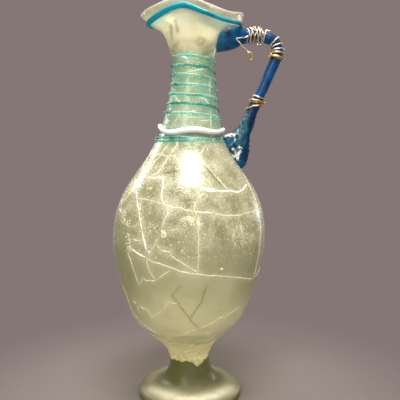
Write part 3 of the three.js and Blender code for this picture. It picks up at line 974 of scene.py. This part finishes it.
def bead(place, normal, radius):
    """A low bubble or grain on the surface: a squashed ball of 6 sides and 3 rings."""
    across, other = two_across(normal, SLANT)
    points = []
    for level in (-0.7, 0.0, 0.7):
        ring = radius * math.sqrt(1 - level**2)
        for side in range(6):
            turn = side * math.pi / 3
            points.append(place + normal * level * radius * BEAD_FLATNESS
                          + ring * (across * math.cos(turn) + other * math.sin(turn)))
    points += [place - normal * radius * BEAD_FLATNESS, place + normal * radius * BEAD_FLATNESS]
    return np.array(points), tube_faces(3, 6)


def ring_bubble(place, normal, radius):
    """A burst bubble: a thin raised ring on the surface."""
    across, other = two_across(normal, SLANT)
    turn = np.linspace(0, 2 * math.pi, RING_POINTS)[:, None]
    path = place + radius * (across * np.cos(turn) + other * np.sin(turn))
    thick = 0.08 + radius * 0.13
    return tube(path, np.tile(normal, (RING_POINTS, 1)), thick, thick, 5)


# Clusters of bubbles and grains on the near side: centre pixel, half width and half height in pixels,
# number, and their least and greatest radius in mm.
GRAINS = [
    ((124, 221), (2, 9), 22, (0.25, 0.5)),
    ((139.5, 209), (1.4, 5), 16, (0.3, 0.65)),
    ((141.5, 225), (1.2, 7), 12, (0.25, 0.45)),
    ((127, 223), (3, 2.5), 9, (0.3, 0.6)),
    ((128.3, 243), (2.4, 8.5), 16, (0.2, 0.42)),
    ((186, 221), (7, 4), 16, (0.2, 0.4)),
    ((198, 222), (1.5, 4), 8, (0.3, 0.6)),
    ((162.8, 233.6), (1.6, 2.4), 7, (0.45, 0.8)),
    ((222, 268.7), (1.2, 0.8), 4, (0.5, 0.9)),
    ((183, 251), (1.5, 2.5), 5, (0.3, 0.5)),
    ((153, 229), (4, 4), 6, (0.3, 0.55)),
    ((241, 237), (7, 12), 44, (0.2, 0.45)),
    ((150, 166), (4, 5), 14, (0.3, 0.6)),
    ((190, 200), (52, 42), 300, (0.12, 0.28)),
    ((190, 236), (62, 28), 200, (0.12, 0.28)),
    ((187, 348), (9, 4), 12, (0.25, 0.5)),
    ((195, 356), (8, 4), 14, (0.25, 0.55)),
    ((192, 346.7), (0.8, 0.5), 3, (0.6, 0.9)),
]
# Clusters of burst bubbles, in the same terms.
BUBBLES = [
    ((128.3, 242), (2.4, 8.5), 16, (0.3, 0.6)),
    ((187, 221), (6.5, 4), 15, (0.5, 0.95)),
    ((198.3, 222), (0.8, 3), 3, (0.7, 1.0)),
    ((163.4, 234.8), (0.7, 1.0), 4, (1.0, 1.8)),
    ((150, 188), (3, 2), 3, (0.5, 0.9)),
    ((180, 240), (45, 18), 14, (0.25, 0.5)),
]
# Grains of the far side: their number, and least and greatest bearing in degrees, height and radius in mm.
FAR_GRAINS = (160, (5, 175), (96, 150), (0.12, 0.32))


def add_grains(surface):
    rng = random.Random(9)
    parts = []
    for clusters, make in ((GRAINS, bead), (BUBBLES, ring_bubble)):
        for (x, y), (wide, high), count, (least, most) in clusters:
            for _ in range(count):
                place, normal = surface.at_pixel(x + rng.uniform(-wide, wide), y + rng.uniform(-high, high))
                parts.append(make(place, normal, rng.uniform(least, most)))
    count, degrees, heights, radii = FAR_GRAINS
    for _ in range(count):
        place, normal = surface.at_bearing(rng.uniform(*degrees), rng.uniform(*heights))
        parts.append(bead(place, normal, rng.uniform(*radii)))
    material = seam_material("grains", srgb(252, 249, 222), srgb(238, 232, 188), 0.05)
    seam_piece("surface_grains", parts, material)


def division_height(points, surface):
    """The height of the main division at each point's bearing."""
    near = [surface.at_pixel(*pixel)[0] for pixel in DIVISION]
    far = [surface.at_bearing(*place)[0] for place in BACK_CRACKS[0][1]]
    line = np.array(near + far)
    bearing = np.degrees(np.arctan2(line[:, 1], line[:, 0])) % 360
    order = np.argsort(bearing)
    wanted = np.degrees(np.arctan2(points[:, 1], points[:, 0])) % 360
    return np.interp(wanted, bearing[order], line[order, 2], period=360)


def coil_distance(points):
    """How far each point's height is from the nearest turn of the neck's trails."""
    bearing = np.arctan2(points[:, 1], points[:, 0] - MOUTH_LEAN)
    least = np.full(len(points), np.inf)
    for coil in (NECK_COIL, LOWER_COIL):
        turn = (bearing / (2 * math.pi) - coil["start"]) % 1
        for lap in range(math.ceil(coil["turns"])):
            share = (turn + lap) / coil["turns"]
            height = coil["top"] + (coil["bottom"] - coil["top"]) * share - COIL_TILT * np.cos(bearing)
            away = np.where(share <= 1, np.abs(points[:, 2] - height), np.inf)
            least = np.minimum(least, away)
    return least


def rim_height(points):
    """The height of the rim's thread at each point's bearing."""
    sites = np.linspace(0, math.pi, 61)
    heights = [round_the_axis(MOUTH[THREAD_ROW - len(BODY)][1], bearing) for bearing in sites]
    return np.interp(np.abs(np.arctan2(points[:, 1], points[:, 0] - MOUTH_LEAN)), sites, heights)


def add_vessel():
    """The vessel, with its surface and the crack lines, painted highlight lines and painted shade lines for
    what lies on it.
    """
    points, faces = vessel_mesh()
    surface = Surface(points, faces)
    cracks = find_cracks(surface)
    piece = mesh_piece("vessel_glass", points, faces, vessel_material())
    x, y, z = points.T
    above = z - division_height(points, surface)
    mottled = 0.42 * smooth(-0.6, 0.6, above) + 0.58 * smooth(0, 28, above + 6 * waves(points, 14))
    mottled = mottled * (1 - 0.15 * smooth(*CALM_NECK_FROM, z)) * (1 - 0.5 * smooth(*CALM_MOUTH_FROM, z))

    ragged = z + 1.5 * waves(points, 5)
    neck = smooth(*NECK_FROM, ragged) * smooth(*NECK_TO, ragged)
    side = np.abs(x - MOUTH_LEAN) / np.maximum(np.hypot(x - MOUTH_LEAN, y), 1)
    band = np.exp(-(coil_distance(points) / 1.7) ** 2)
    patchy = 0.75 + 0.5 * waves(points, 9)
    under_collar = smooth(*UNDER_COLLAR_FROM, ragged) * smooth(*UNDER_COLLAR_TO, z)
    # Painted shade: the sides of the neck, as seen from the front, turn darker aqua; the rest of the aqua
    # follows the trails and lies under the collar.
    aqua = neck * (0.12 + 0.5 * band * patchy + 0.45 * side**2) + 0.5 * under_collar * patchy

    # Painted glow: the lower body made paler in a band at the front and back, for light shining through it.
    low = smooth(*CREAM_LOW_TO, z) * smooth(*CREAM_LOW_FROM, z) * smooth(44, 20, np.abs(x - 6))
    # Painted sheen: the right shoulder made paler, for the haze of light round the highlight.
    right_shoulder = smooth(6, 20, x) * smooth(*SHOULDER_FROM, z) * smooth(*SHOULDER_TO, z)
    from_thread = np.abs(z - rim_height(points))
    higher_left = 4 * smooth(2, -14, x)
    # A milky halo round every line; round the painted highlight lines it is painted glow.
    glow = 0.8 * closeness(points, cracks["bright"], 2.6) + 0.6 * closeness(points, cracks["pale"], 1.9)
    # Stains, with painted shade in the spout's creases and round the dark lines.
    stain = 0.22 * closeness(points, cracks["dark"], 0.9) + closeness(points, cracks["stain"], 1.2, True)
    set_values(
        piece,
        mottled=mottled,
        neck=neck,
        aqua=np.clip(aqua, 0, 1),
        cream=0.85 * smooth(*CREAM_MOUTH_FROM, z) + 0.4 * low + 0.35 * right_shoulder,
        rim_glow=0.6 * np.exp(-((from_thread - 1.5) / 0.9) ** 2) * smooth(*RIM_GLOW_FROM, z),
        crust=smooth(*CRUST_TO, z - higher_left + 2 * waves(points, 6)),
        # Painted shade: olive towards the sides of the body as seen from the front.
        olive=smooth(0.5, 0.95, np.abs(x) / BODY_RADIUS) * smooth(*OLIVE_EDGE_FROM, z),
        crack_glow=np.clip(glow, 0, 1),
        stain=np.clip(stain, 0, 1),
    )
    mount(piece, "vessel")
    return surface, cracks


# The painted highlight on the foot, a pale ring of light strongest at the front: its radius and half its
# breadth, in mm.
BLOOM_RING = (25.5, 4.5)
DEEP_FROM = (12.5, 15.0)


def add_foot():
    under = np.array([(r, z, 0) for r, z in FOOT_UNDERSIDE], float)
    over = np.array([(r, z, 0) for r, z in FOOT_OUTSIDE], float)
    under = spline(under, evenly(under, 30))[1:]
    over = spline(over, evenly(over, 70))
    rest = np.linspace(under[-1], over[0], 8)[1:-1]
    section = np.vstack([under, rest, over])
    turn = bearings(SIDES)
    jags = np.array([joint_jag(bearing) for bearing in turn])
    rings = []
    for radius, height, _ in section:
        x = radius * np.cos(turn)
        y = radius * np.sin(turn)
        points = np.stack([x, y, np.full(SIDES, height)], axis=1)
        lift = bumps(points, (0.18, 9), (0.06, 3)) * smooth(1.0, 4.0, height)
        scale = 1 + lift / max(radius, 5)
        z = height + jags * smooth(*FOOT_JAGS, height) + lift * 0.3
        rings.append(np.stack([x * scale + FOOT_LEAN, y * scale, z], axis=1))
    ends = [[(FOOT_LEAN, 0, FOOT_UNDERSIDE[0][1])], [(FOOT_LEAN, 0, JOINT_HEIGHT - 0.2)]]
    points = np.vstack(rings + ends)
    piece = mesh_piece("foot_glass", points, tube_faces(len(section), SIDES), foot_material())
    x, y, z = points.T
    left_front = np.exp(-((x + 10) / 8) ** 2) * smooth(4, -4, y)
    level = z + 1.5 * waves(points, 7) + 3 * left_front
    deep = smooth(*DEEP_FROM, level) * (0.75 + 0.4 * waves(points, 11) + 0.25 * left_front)
    ring, half = BLOOM_RING
    # Painted highlight: a pale ring round the foot, strongest at the front.
    bloom = np.exp(-((np.hypot(x, y) - ring + 1.5 * waves(points, 12)) / half) ** 2) * smooth(4, 5.5, z)
    set_values(piece, deep=np.clip(deep, 0, 1), bloom=bloom * (0.25 + 0.75 * smooth(-3, -16, y)))
    mount(piece, "foot")


def ring_thread(place_at, thread, steps, width_at):
    """A closed thread round the vessel: half of it shows and the rest is fused into the wall.
    place_at gives radius, height, lean and slope at a bearing, and width_at a factor of its width."""
    half, rise = thread
    turn = bearings(THREAD_SIDES)
    rings = []
    for bearing in bearings(steps):
        radius, height, lean, slope = place_at(bearing)
        out = 0.75 * rise + 1.25 * rise * np.cos(turn)
        up = half * width_at(bearing) * np.sin(turn)
        r = radius + slope[1] * out + slope[0] * up
        z = height - slope[0] * out + slope[1] * up
        rings.append(np.stack([r * math.cos(bearing) + lean, r * math.sin(bearing), z], axis=1))
    points = np.vstack(rings)
    points = points + 0.10 * np.stack([waves(points + 9 * k, 4) for k in range(3)], axis=1)
    faces = []
    for step in range(steps):
        after = THREAD_SIDES if step < steps - 1 else THREAD_SIDES - steps * THREAD_SIDES
        for side in range(THREAD_SIDES):
            a = step * THREAD_SIDES + side
            b = step * THREAD_SIDES + (side + 1) % THREAD_SIDES
            faces.append((a, a + after, b + after, b))
    return points, faces


def add_rim_thread():
    def place_at(bearing):
        section = spline(outside_rows(bearing), THREAD_ROW + np.array([-0.02, 0, 0.02]))
        slope = section[2, :2] - section[0, :2]
        return section[1, 0], section[1, 1], section[1, 2], slope / np.linalg.norm(slope)

    def width_at(bearing):
        return 0.62 + 0.38 * smooth(0.9, -0.3, math.cos(bearing))

    teal = trail_material("teal_trail", srgb(0, 138, 166), srgb(16, 178, 196), 0.15, 90, (0.12, 0.24), 0.15)
    piece = mesh_piece("rim_trail", *ring_thread(place_at, RIM_THREAD, 260, width_at), teal)
    mount(piece, "rim_thread")


# Where a short tail of the collar hangs down, in pixels of the photo.
COLLAR_TAIL = [(162, 129.5), (163.5, 131.5), (164.8, 133.2), (165.6, 134.6)]


def add_collar(surface):
    def place_at(bearing):
        height = round_the_axis(COLLAR_HEIGHT, bearing)
        radius, lean, slope = outside_at(bearing, height)
        return radius, height, lean, slope

    def width_at(bearing):
        return 1 + 0.4 * max(-math.sin(bearing), 0) ** 6

    found = [surface.at_pixel(*pixel) for pixel in COLLAR_TAIL]
    out = np.array([normal for _, normal in found])
    path = np.array([place for place, _ in found]) + 0.5 * out
    share = np.linspace(0, len(COLLAR_TAIL) - 1, 12)
    size = np.linspace(1.2, 0.6, 12)
    tail = tube(spline(path, share), spline(out, share), size, size * 0.9, 10)
    parts = [ring_thread(place_at, COLLAR_THREAD, 220, width_at), tail]
    pale = trail_material("pale_collar", srgb(252, 250, 242), srgb(255, 255, 252), 0.0, 120, (0.2, 0.4), 0.3)
    mount(mesh_piece("collar_trail", *joined(parts), pale), "collar_thread")


STEPS_PER_TURN = 48


def coil_points(coil, radius, drop=0.0):
    """Points and faces of a neck trail, or of one that lies a drop below it."""
    steps = int(coil["turns"] * STEPS_PER_TURN)
    path, out = [], []
    for i in range(steps + 1):
        share = i / steps
        bearing = 2 * math.pi * (coil["start"] + share * coil["turns"])
        height = coil["top"] + (coil["bottom"] - coil["top"]) * share - COIL_TILT * math.cos(bearing) - drop
        at, lean, slope = outside_at(bearing, height)
        r = at + slope[1] * radius * 0.7
        path.append((r * math.cos(bearing) + lean, r * math.sin(bearing), height - slope[0] * radius * 0.7))
        out.append((slope[1] * math.cos(bearing), slope[1] * math.sin(bearing), -slope[0]))
    path = np.array(path)
    still = np.zeros(len(path))
    wobble = np.stack([still, still, bumps(path, (0.42, 9), (0.16, 4))], axis=1)
    thick = radius * (1 + 0.50 * waves(path, 6) + 0.18 * waves(path, 2))
    thick = thick * np.clip(from_ends(steps + 1) / 10, 0.15, 1)
    return tube(path + wobble, np.array(out), thick, thick * 1.15, 8)


# Height of each turn of the neck's trail at the front, and how thin and pale its glass is there.
TRAIL_THINNESS = [
    (177.2, 0.10), (183.0, -0.09), (188.7, 0.07), (194.5, -0.03), (200.2, 0.08), (206.0, -0.12),
    (211.8, 0.12),
]
NECK_TRAIL_RADIUS = 0.78
LOWER_TRAIL_RADIUS = 0.75
# A second, thinner thread lies this far below the lower trail.
SECOND_TRAIL_RADIUS = 0.6
SECOND_TRAIL_DROP = 1.9


def add_neck_trails():
    aqua = trail_material("aqua_trail", srgb(70, 160, 152), srgb(180, 224, 208), 0.5, 80, (0.14, 0.34), 0.2,
                          shadow=(0.75, 0.88, 0.82, 1), spots=srgb(60, 214, 206))
    points, faces = coil_points(NECK_COIL, NECK_TRAIL_RADIUS)
    piece = mesh_piece("neck_trail", points, faces, aqua)
    set_values(piece, thin=np.interp(points[:, 2], *np.array(TRAIL_THINNESS).T))
    mount(piece, "neck_thread")
    lower = [
        coil_points(LOWER_COIL, LOWER_TRAIL_RADIUS),
        coil_points(LOWER_COIL, SECOND_TRAIL_RADIUS, SECOND_TRAIL_DROP),
    ]
    mount(mesh_piece("shoulder_trail", *joined(lower), aqua), "neck_thread_lower")


HANDLE_PATH = np.array([(x, 0, z) for x, z, _, _ in HANDLE], float)
HANDLE_SIZES = np.array([(depth, width, 0) for _, _, depth, width in HANDLE], float)


def handle_at(row):
    """Centre, direction across in the plane, half depth and half width at rows of the handle's table."""
    row = np.atleast_1d(np.asarray(row, float))
    centre = spline(HANDLE_PATH, row)
    along = unit(spline(HANDLE_PATH, row + 0.01) - spline(HANDLE_PATH, row - 0.01))
    in_plane = np.stack([along[:, 2], np.zeros(len(row)), -along[:, 0]], axis=1)
    size = spline(HANDLE_SIZES, row)
    return centre, in_plane, size[:, :1], size[:, 1:2]


# The handle's plate on the mouth ends between these rows, and this power makes its section squarer.
PLATE_TO = (2.5, 4.0)
PLATE_POWER = 0.78


def handle_points(row, turn, clearance):
    """Points on the handle, or clear of it. The plate on the mouth is a little squarer than round."""
    centre, in_plane, depth, width = handle_at(row)
    turn = np.atleast_1d(turn)[:, None]
    row = np.atleast_1d(np.asarray(row, float))
    square = PLATE_POWER + (1 - PLATE_POWER) * smooth(*PLATE_TO, row)[:, None]
    inward = np.sign(np.cos(turn)) * np.abs(np.cos(turn)) ** square
    aside = np.sign(np.sin(turn)) * np.abs(np.sin(turn)) ** square
    across = np.array([0.0, 1.0, 0.0])
    return centre + in_plane * (depth + clearance) * inward + across * (width + clearance) * aside


CUTTER_SIDES = 96
CUTTER_LOW_ROW = 8


def vessel_cutter(sink):
    """The space of the vessel and its hollow, a little smaller than its outside."""
    t = np.linspace(CUTTER_LOW_ROW, TOP_ROW, 150)
    rings = []
    for bearing in bearings(CUTTER_SIDES):
        section = moved(spline(outside_rows(bearing), t), np.full(len(t), -sink))
        rings.append(in_space(section, bearing))
    points = np.stack(rings, axis=1).reshape(-1, 3)
    ends = [(0, 0, points[0, 2]), (MOUTH_LEAN, 0, 238)]
    return np.vstack([points, ends]), tube_faces(len(t), CUTTER_SIDES)


def boolean(piece, cutter):
    modifier = piece.modifiers.new("cut", "BOOLEAN")
    modifier.operation = "DIFFERENCE"
    modifier.solver = "EXACT"
    modifier.object = cutter
    bpy.context.view_layer.update()
    evaluated = piece.evaluated_get(bpy.context.evaluated_depsgraph_get())
    cut = bpy.data.meshes.new_from_object(evaluated)
    piece.modifiers.clear()
    old = piece.data
    piece.data = cut
    bpy.data.meshes.remove(old)
    bpy.data.objects.remove(cutter)


# The line between the handle's crizzled inner part and its sound navy part, from the front: height, X.
SOUND_EDGE = [(146.6, 30.0), (149.7, 31.9), (152.9, 31.7), (156, 32.7), (159.1, 34.6), (165.4, 35.4),
              (171.7, 36.3), (177.9, 35.9), (184.2, 37.2)]


def blob(points, x, z, half_x, half_z):
    """1 inside an oval of the front view and 0 well outside it, with a ragged edge."""
    away = np.hypot((points[:, 0] - x) / half_x, (points[:, 2] - z) / half_z)
    return smooth(1.2, 0.75, away + 0.25 * waves(points, 2.2))


# Ovals of the handle's lower end in the front view: X and height of the middle, and half their sizes.
SOUND_LOBE = (23.6, 161.4, 3.8, 2.9)
SPARKLING_END = (28.6, 153.6, 4.4, 4.6)
SPARKLING_TOP = (25.0, 165.2, 4.4, 1.2)
LOBE_REACH = 4.0


def shoulder_lobe(points):
    """The handle's points with a flat-topped lobe drawn out towards the neck, on the shoulder."""
    level = smooth(167.0, 165.2, points[:, 2]) * smooth(154.5, 158.5, points[:, 2])
    drawn = points.copy()
    drawn[:, 0] -= LOBE_REACH * level * smooth(33.5, 29.0, points[:, 0])
    return drawn


def vertex_values(mesh, name):
    values = np.zeros(len(mesh.vertices) * 3)
    mesh.vertices.foreach_get(name, values)
    return values.reshape(-1, 3)


def add_handle():
    rows, sides = 230, 48
    last = len(HANDLE) - 1
    turn = bearings(sides)
    rings = [handle_points(np.full(sides, row), turn, 0) for row in np.linspace(0, last, rows)]
    points = shoulder_lobe(np.vstack(rings + [handle_at(0)[0], handle_at(last)[0]]))
    material = handle_material()
    piece = mesh_piece("handle_glass", points, tube_faces(rows, sides), material)
    boolean(piece, mesh_piece("cutter", *vessel_cutter(0.15), material))
    mesh = piece.data
    place = vertex_values(mesh, "co")
    points = (place - AXIS) / MM
    x, y, z = points.T

    heights, edges = np.array(SOUND_EDGE).T
    inside = x - np.interp(z, heights, edges) + 0.8 * waves(points, 3)
    lobe = blob(points, *SOUND_LOBE)
    tip = smooth(150.5, 148, z) * smooth(28, 29.5, x)
    crizzled = smooth(1.0, -1.2, inside) * smooth(187, 178, z) * (1 - lobe) * (1 - tip)
    broken = crizzled * (0.4 * waves(points, 1.5) - 0.35)
    lift = bumps(points, (0.10, 8), (0.05, 3)) + broken
    place += vertex_values(mesh, "normal") * lift[:, None] * MM
    mesh.vertices.foreach_set("co", place.ravel())
    mesh.polygons.foreach_set("use_smooth", [True] * len(mesh.polygons))
    mesh.update()
    sparkle = np.maximum(0.4 * blob(points, *SPARKLING_END), 0.7 * blob(points, *SPARKLING_TOP))
    mouth_side = smooth(25, 17, np.hypot(x, y)) * smooth(214, 220, z) * 0.8
    set_values(
        piece,
        crizzled=crizzled,
        navy=0.65 * smooth(190, 174, z) * (1 - crizzled),
        sparkle=np.maximum(sparkle, -0.02),
        teal=np.maximum(mouth_side, 0.55 * np.maximum(lobe, tip)),
    )
    mount(piece, "handle")


def wire(points, radius=WIRE_RADIUS):
    points = np.asarray(points, float)
    length = np.linalg.norm(np.diff(points, axis=0), axis=1).sum()
    path = spline(points, evenly(points, max(int(length / WIRE_STEP), 8)))
    along = unit(np.gradient(path, axis=0))
    out = [np.cross(along[0], (0.2, 0.9, 0.4))]
    for direction in along[1:]:
        turned = out[-1] - direction * np.dot(out[-1], direction)
        out.append(turned / np.linalg.norm(turned))
    taper = radius * np.clip(0.45 + from_ends(len(path)) * 0.2, 0, 1)
    return tube(path, np.array(out), taper, taper, 8)


POINTS_PER_WRAP = 18
POINTS_PER_TWIST = 9


def wraps(turns, rng):
    """Points of a wire wound round the handle. Each turn gives the handle row where it passes the outer
    side, the row where it then passes the inner side, across the front, and how many wires lie under it."""
    points = []
    for index, (outer, inner, layer) in enumerate(turns):
        after = turns[index + 1][0] if index + 1 < len(turns) else inner
        for step in range(POINTS_PER_WRAP):
            share = step / POINTS_PER_WRAP
            if share < 0.5:
                row = outer + (inner - outer) * smooth(0, 0.5, share)
            else:
                row = inner + (after - inner) * smooth(0.5, 1, share)
            clearance = WIRE_RADIUS * (0.9 + 1.6 * layer) + abs(rng.gauss(0, 0.06))
            points.append(handle_points(row + rng.gauss(0, 0.01), math.pi * (2 * share - 1), clearance)[0])
    return np.array(points)


def twist(start, end, radius, turns, rng):
    """A wire twisted on itself between two places, each a handle row, a turn round it and a clearance."""
    start, end = handle_points(*start)[0], handle_points(*end)[0]
    along = (end - start) / np.linalg.norm(end - start)
    side, other = two_across(along, (0.31, 0.87, 0.38))
    points = []
    for step in range(int(turns * POINTS_PER_TWIST) + 1):
        share = step / (turns * POINTS_PER_TWIST)
        turn = share * turns * 2 * math.pi
        away = radius * rng.uniform(0.8, 1.15)
        aside = away * (side * math.cos(turn) + other * math.sin(turn))
        points.append(start + (end - start) * share + aside)
    return wire(points)


def spike(row, lean, height):
    """A short end of wire that stands up from the arch."""
    foot = handle_points(row, OUTER_SIDE - 0.35, 0.3)[0]
    tip = handle_points(row + lean, OUTER_SIDE - 0.2, height)[0]
    return wire([foot, (foot + tip) / 2, tip], WIRE_RADIUS * 0.9)


def eye_points():
    """The closed eye at the loose end, as a spiral that ends at the last point of LOOSE_END."""
    points = []
    for i in range(EYE_STEPS + 1):
        turn = 2.0 + 6.5 * (EYE_STEPS - i) / EYE_STEPS
        across, up = EYE_HALF[0] * math.cos(turn), EYE_HALF[1] * math.sin(turn)
        points.append((EYE_CENTRE[0] + across * math.cos(EYE_TILT) - up * math.sin(EYE_TILT),
                       EYE_CENTRE[1] - 0.5 * i / EYE_STEPS,
                       EYE_CENTRE[2] + across * math.sin(EYE_TILT) + up * math.cos(EYE_TILT)))
    return points


# Turns of the bindings, as wraps() takes them.
ARCH_TURNS = [
    (4.25, 4.05, 0), (4.12, 4.45, 0), (4.60, 4.28, 1), (4.35, 4.85, 1), (5.05, 4.50, 1), (4.70, 5.15, 2),
    (5.40, 4.85, 1), (5.00, 5.45, 2), (5.35, 5.62, 0), (5.75, 5.60, 0),
]
BEND_TURNS = [
    (6.97, 7.00, 0), (7.55, 7.52, 0), (8.05, 8.00, 0), (8.42, 8.40, 0), (8.90, 8.80, 0), (9.08, 8.95, 0),
    (8.92, 8.98, 1),
]
MIDDLE_TURNS = [
    (11.25, 11.32, 0), (11.42, 11.55, 0), (11.46, 11.70, 0), (11.52, 12.12, 0), (11.40, 11.60, 1),
]


# The first binding's wire comes from its loose end, so its winding begins this many points into a turn.
ARCH_START = 5


def add_wires():
    rng = random.Random(21)
    material = wire_material()
    arch_winding = wraps(ARCH_TURNS, rng)[ARCH_START:]
    arch = [
        wire(np.vstack([eye_points(), LOOSE_END[::-1], arch_winding])),
        spike(4.62, -0.08, 2.4),
        spike(5.12, 0.16, 2.5),
        spike(5.45, -0.10, 1.7),
        twist((5.75, OUTER_SIDE - 0.3, 1.0), (6.12, OUTER_SIDE - 0.3, 0.9), 0.75, 3.2, rng),
        twist((4.5, OUTER_SIDE - 0.5, 1.0), (5.4, OUTER_SIDE - 0.5, 1.1), 0.55, 3.4, rng),
    ]
    bend = [
        wire(wraps(BEND_TURNS, rng), WIRE_RADIUS * 1.35),
        twist((8.70, -0.5, 0.6), (9.25, -0.35, 1.1), 0.7, 2.6, rng),
    ]
    middle = [
        wire(wraps(MIDDLE_TURNS, rng), WIRE_RADIUS * 1.3),
        twist((11.40, OUTER_SIDE + 0.5, 0.6), (11.46, OUTER_SIDE + 0.35, 2.0), 0.7, 2.2, rng),
    ]
    # The last two values are the height where the wire is most golden and how far that reaches.
    for name, parts, golden, reach in (
        ("arch", arch, 212, 6),
        ("bend", bend, 213, 3),
        ("middle", middle, 186, 2.5),
    ):
        points, faces = joined(parts)
        piece = mesh_piece(name + "_wire", points, faces, material)
        set_values(piece, gold=np.exp(-((points[:, 2] - golden) / reach) ** 2))
        mount(piece, "wire_binding_" + name)


add_camera()
add_studio()
vessel_surface, vessel_cracks = add_vessel()
add_foot()
add_rim_thread()
add_collar(vessel_surface)
add_neck_trails()
add_handle()
add_wires()
add_cracks(vessel_cracks)
add_grains(vessel_surface)
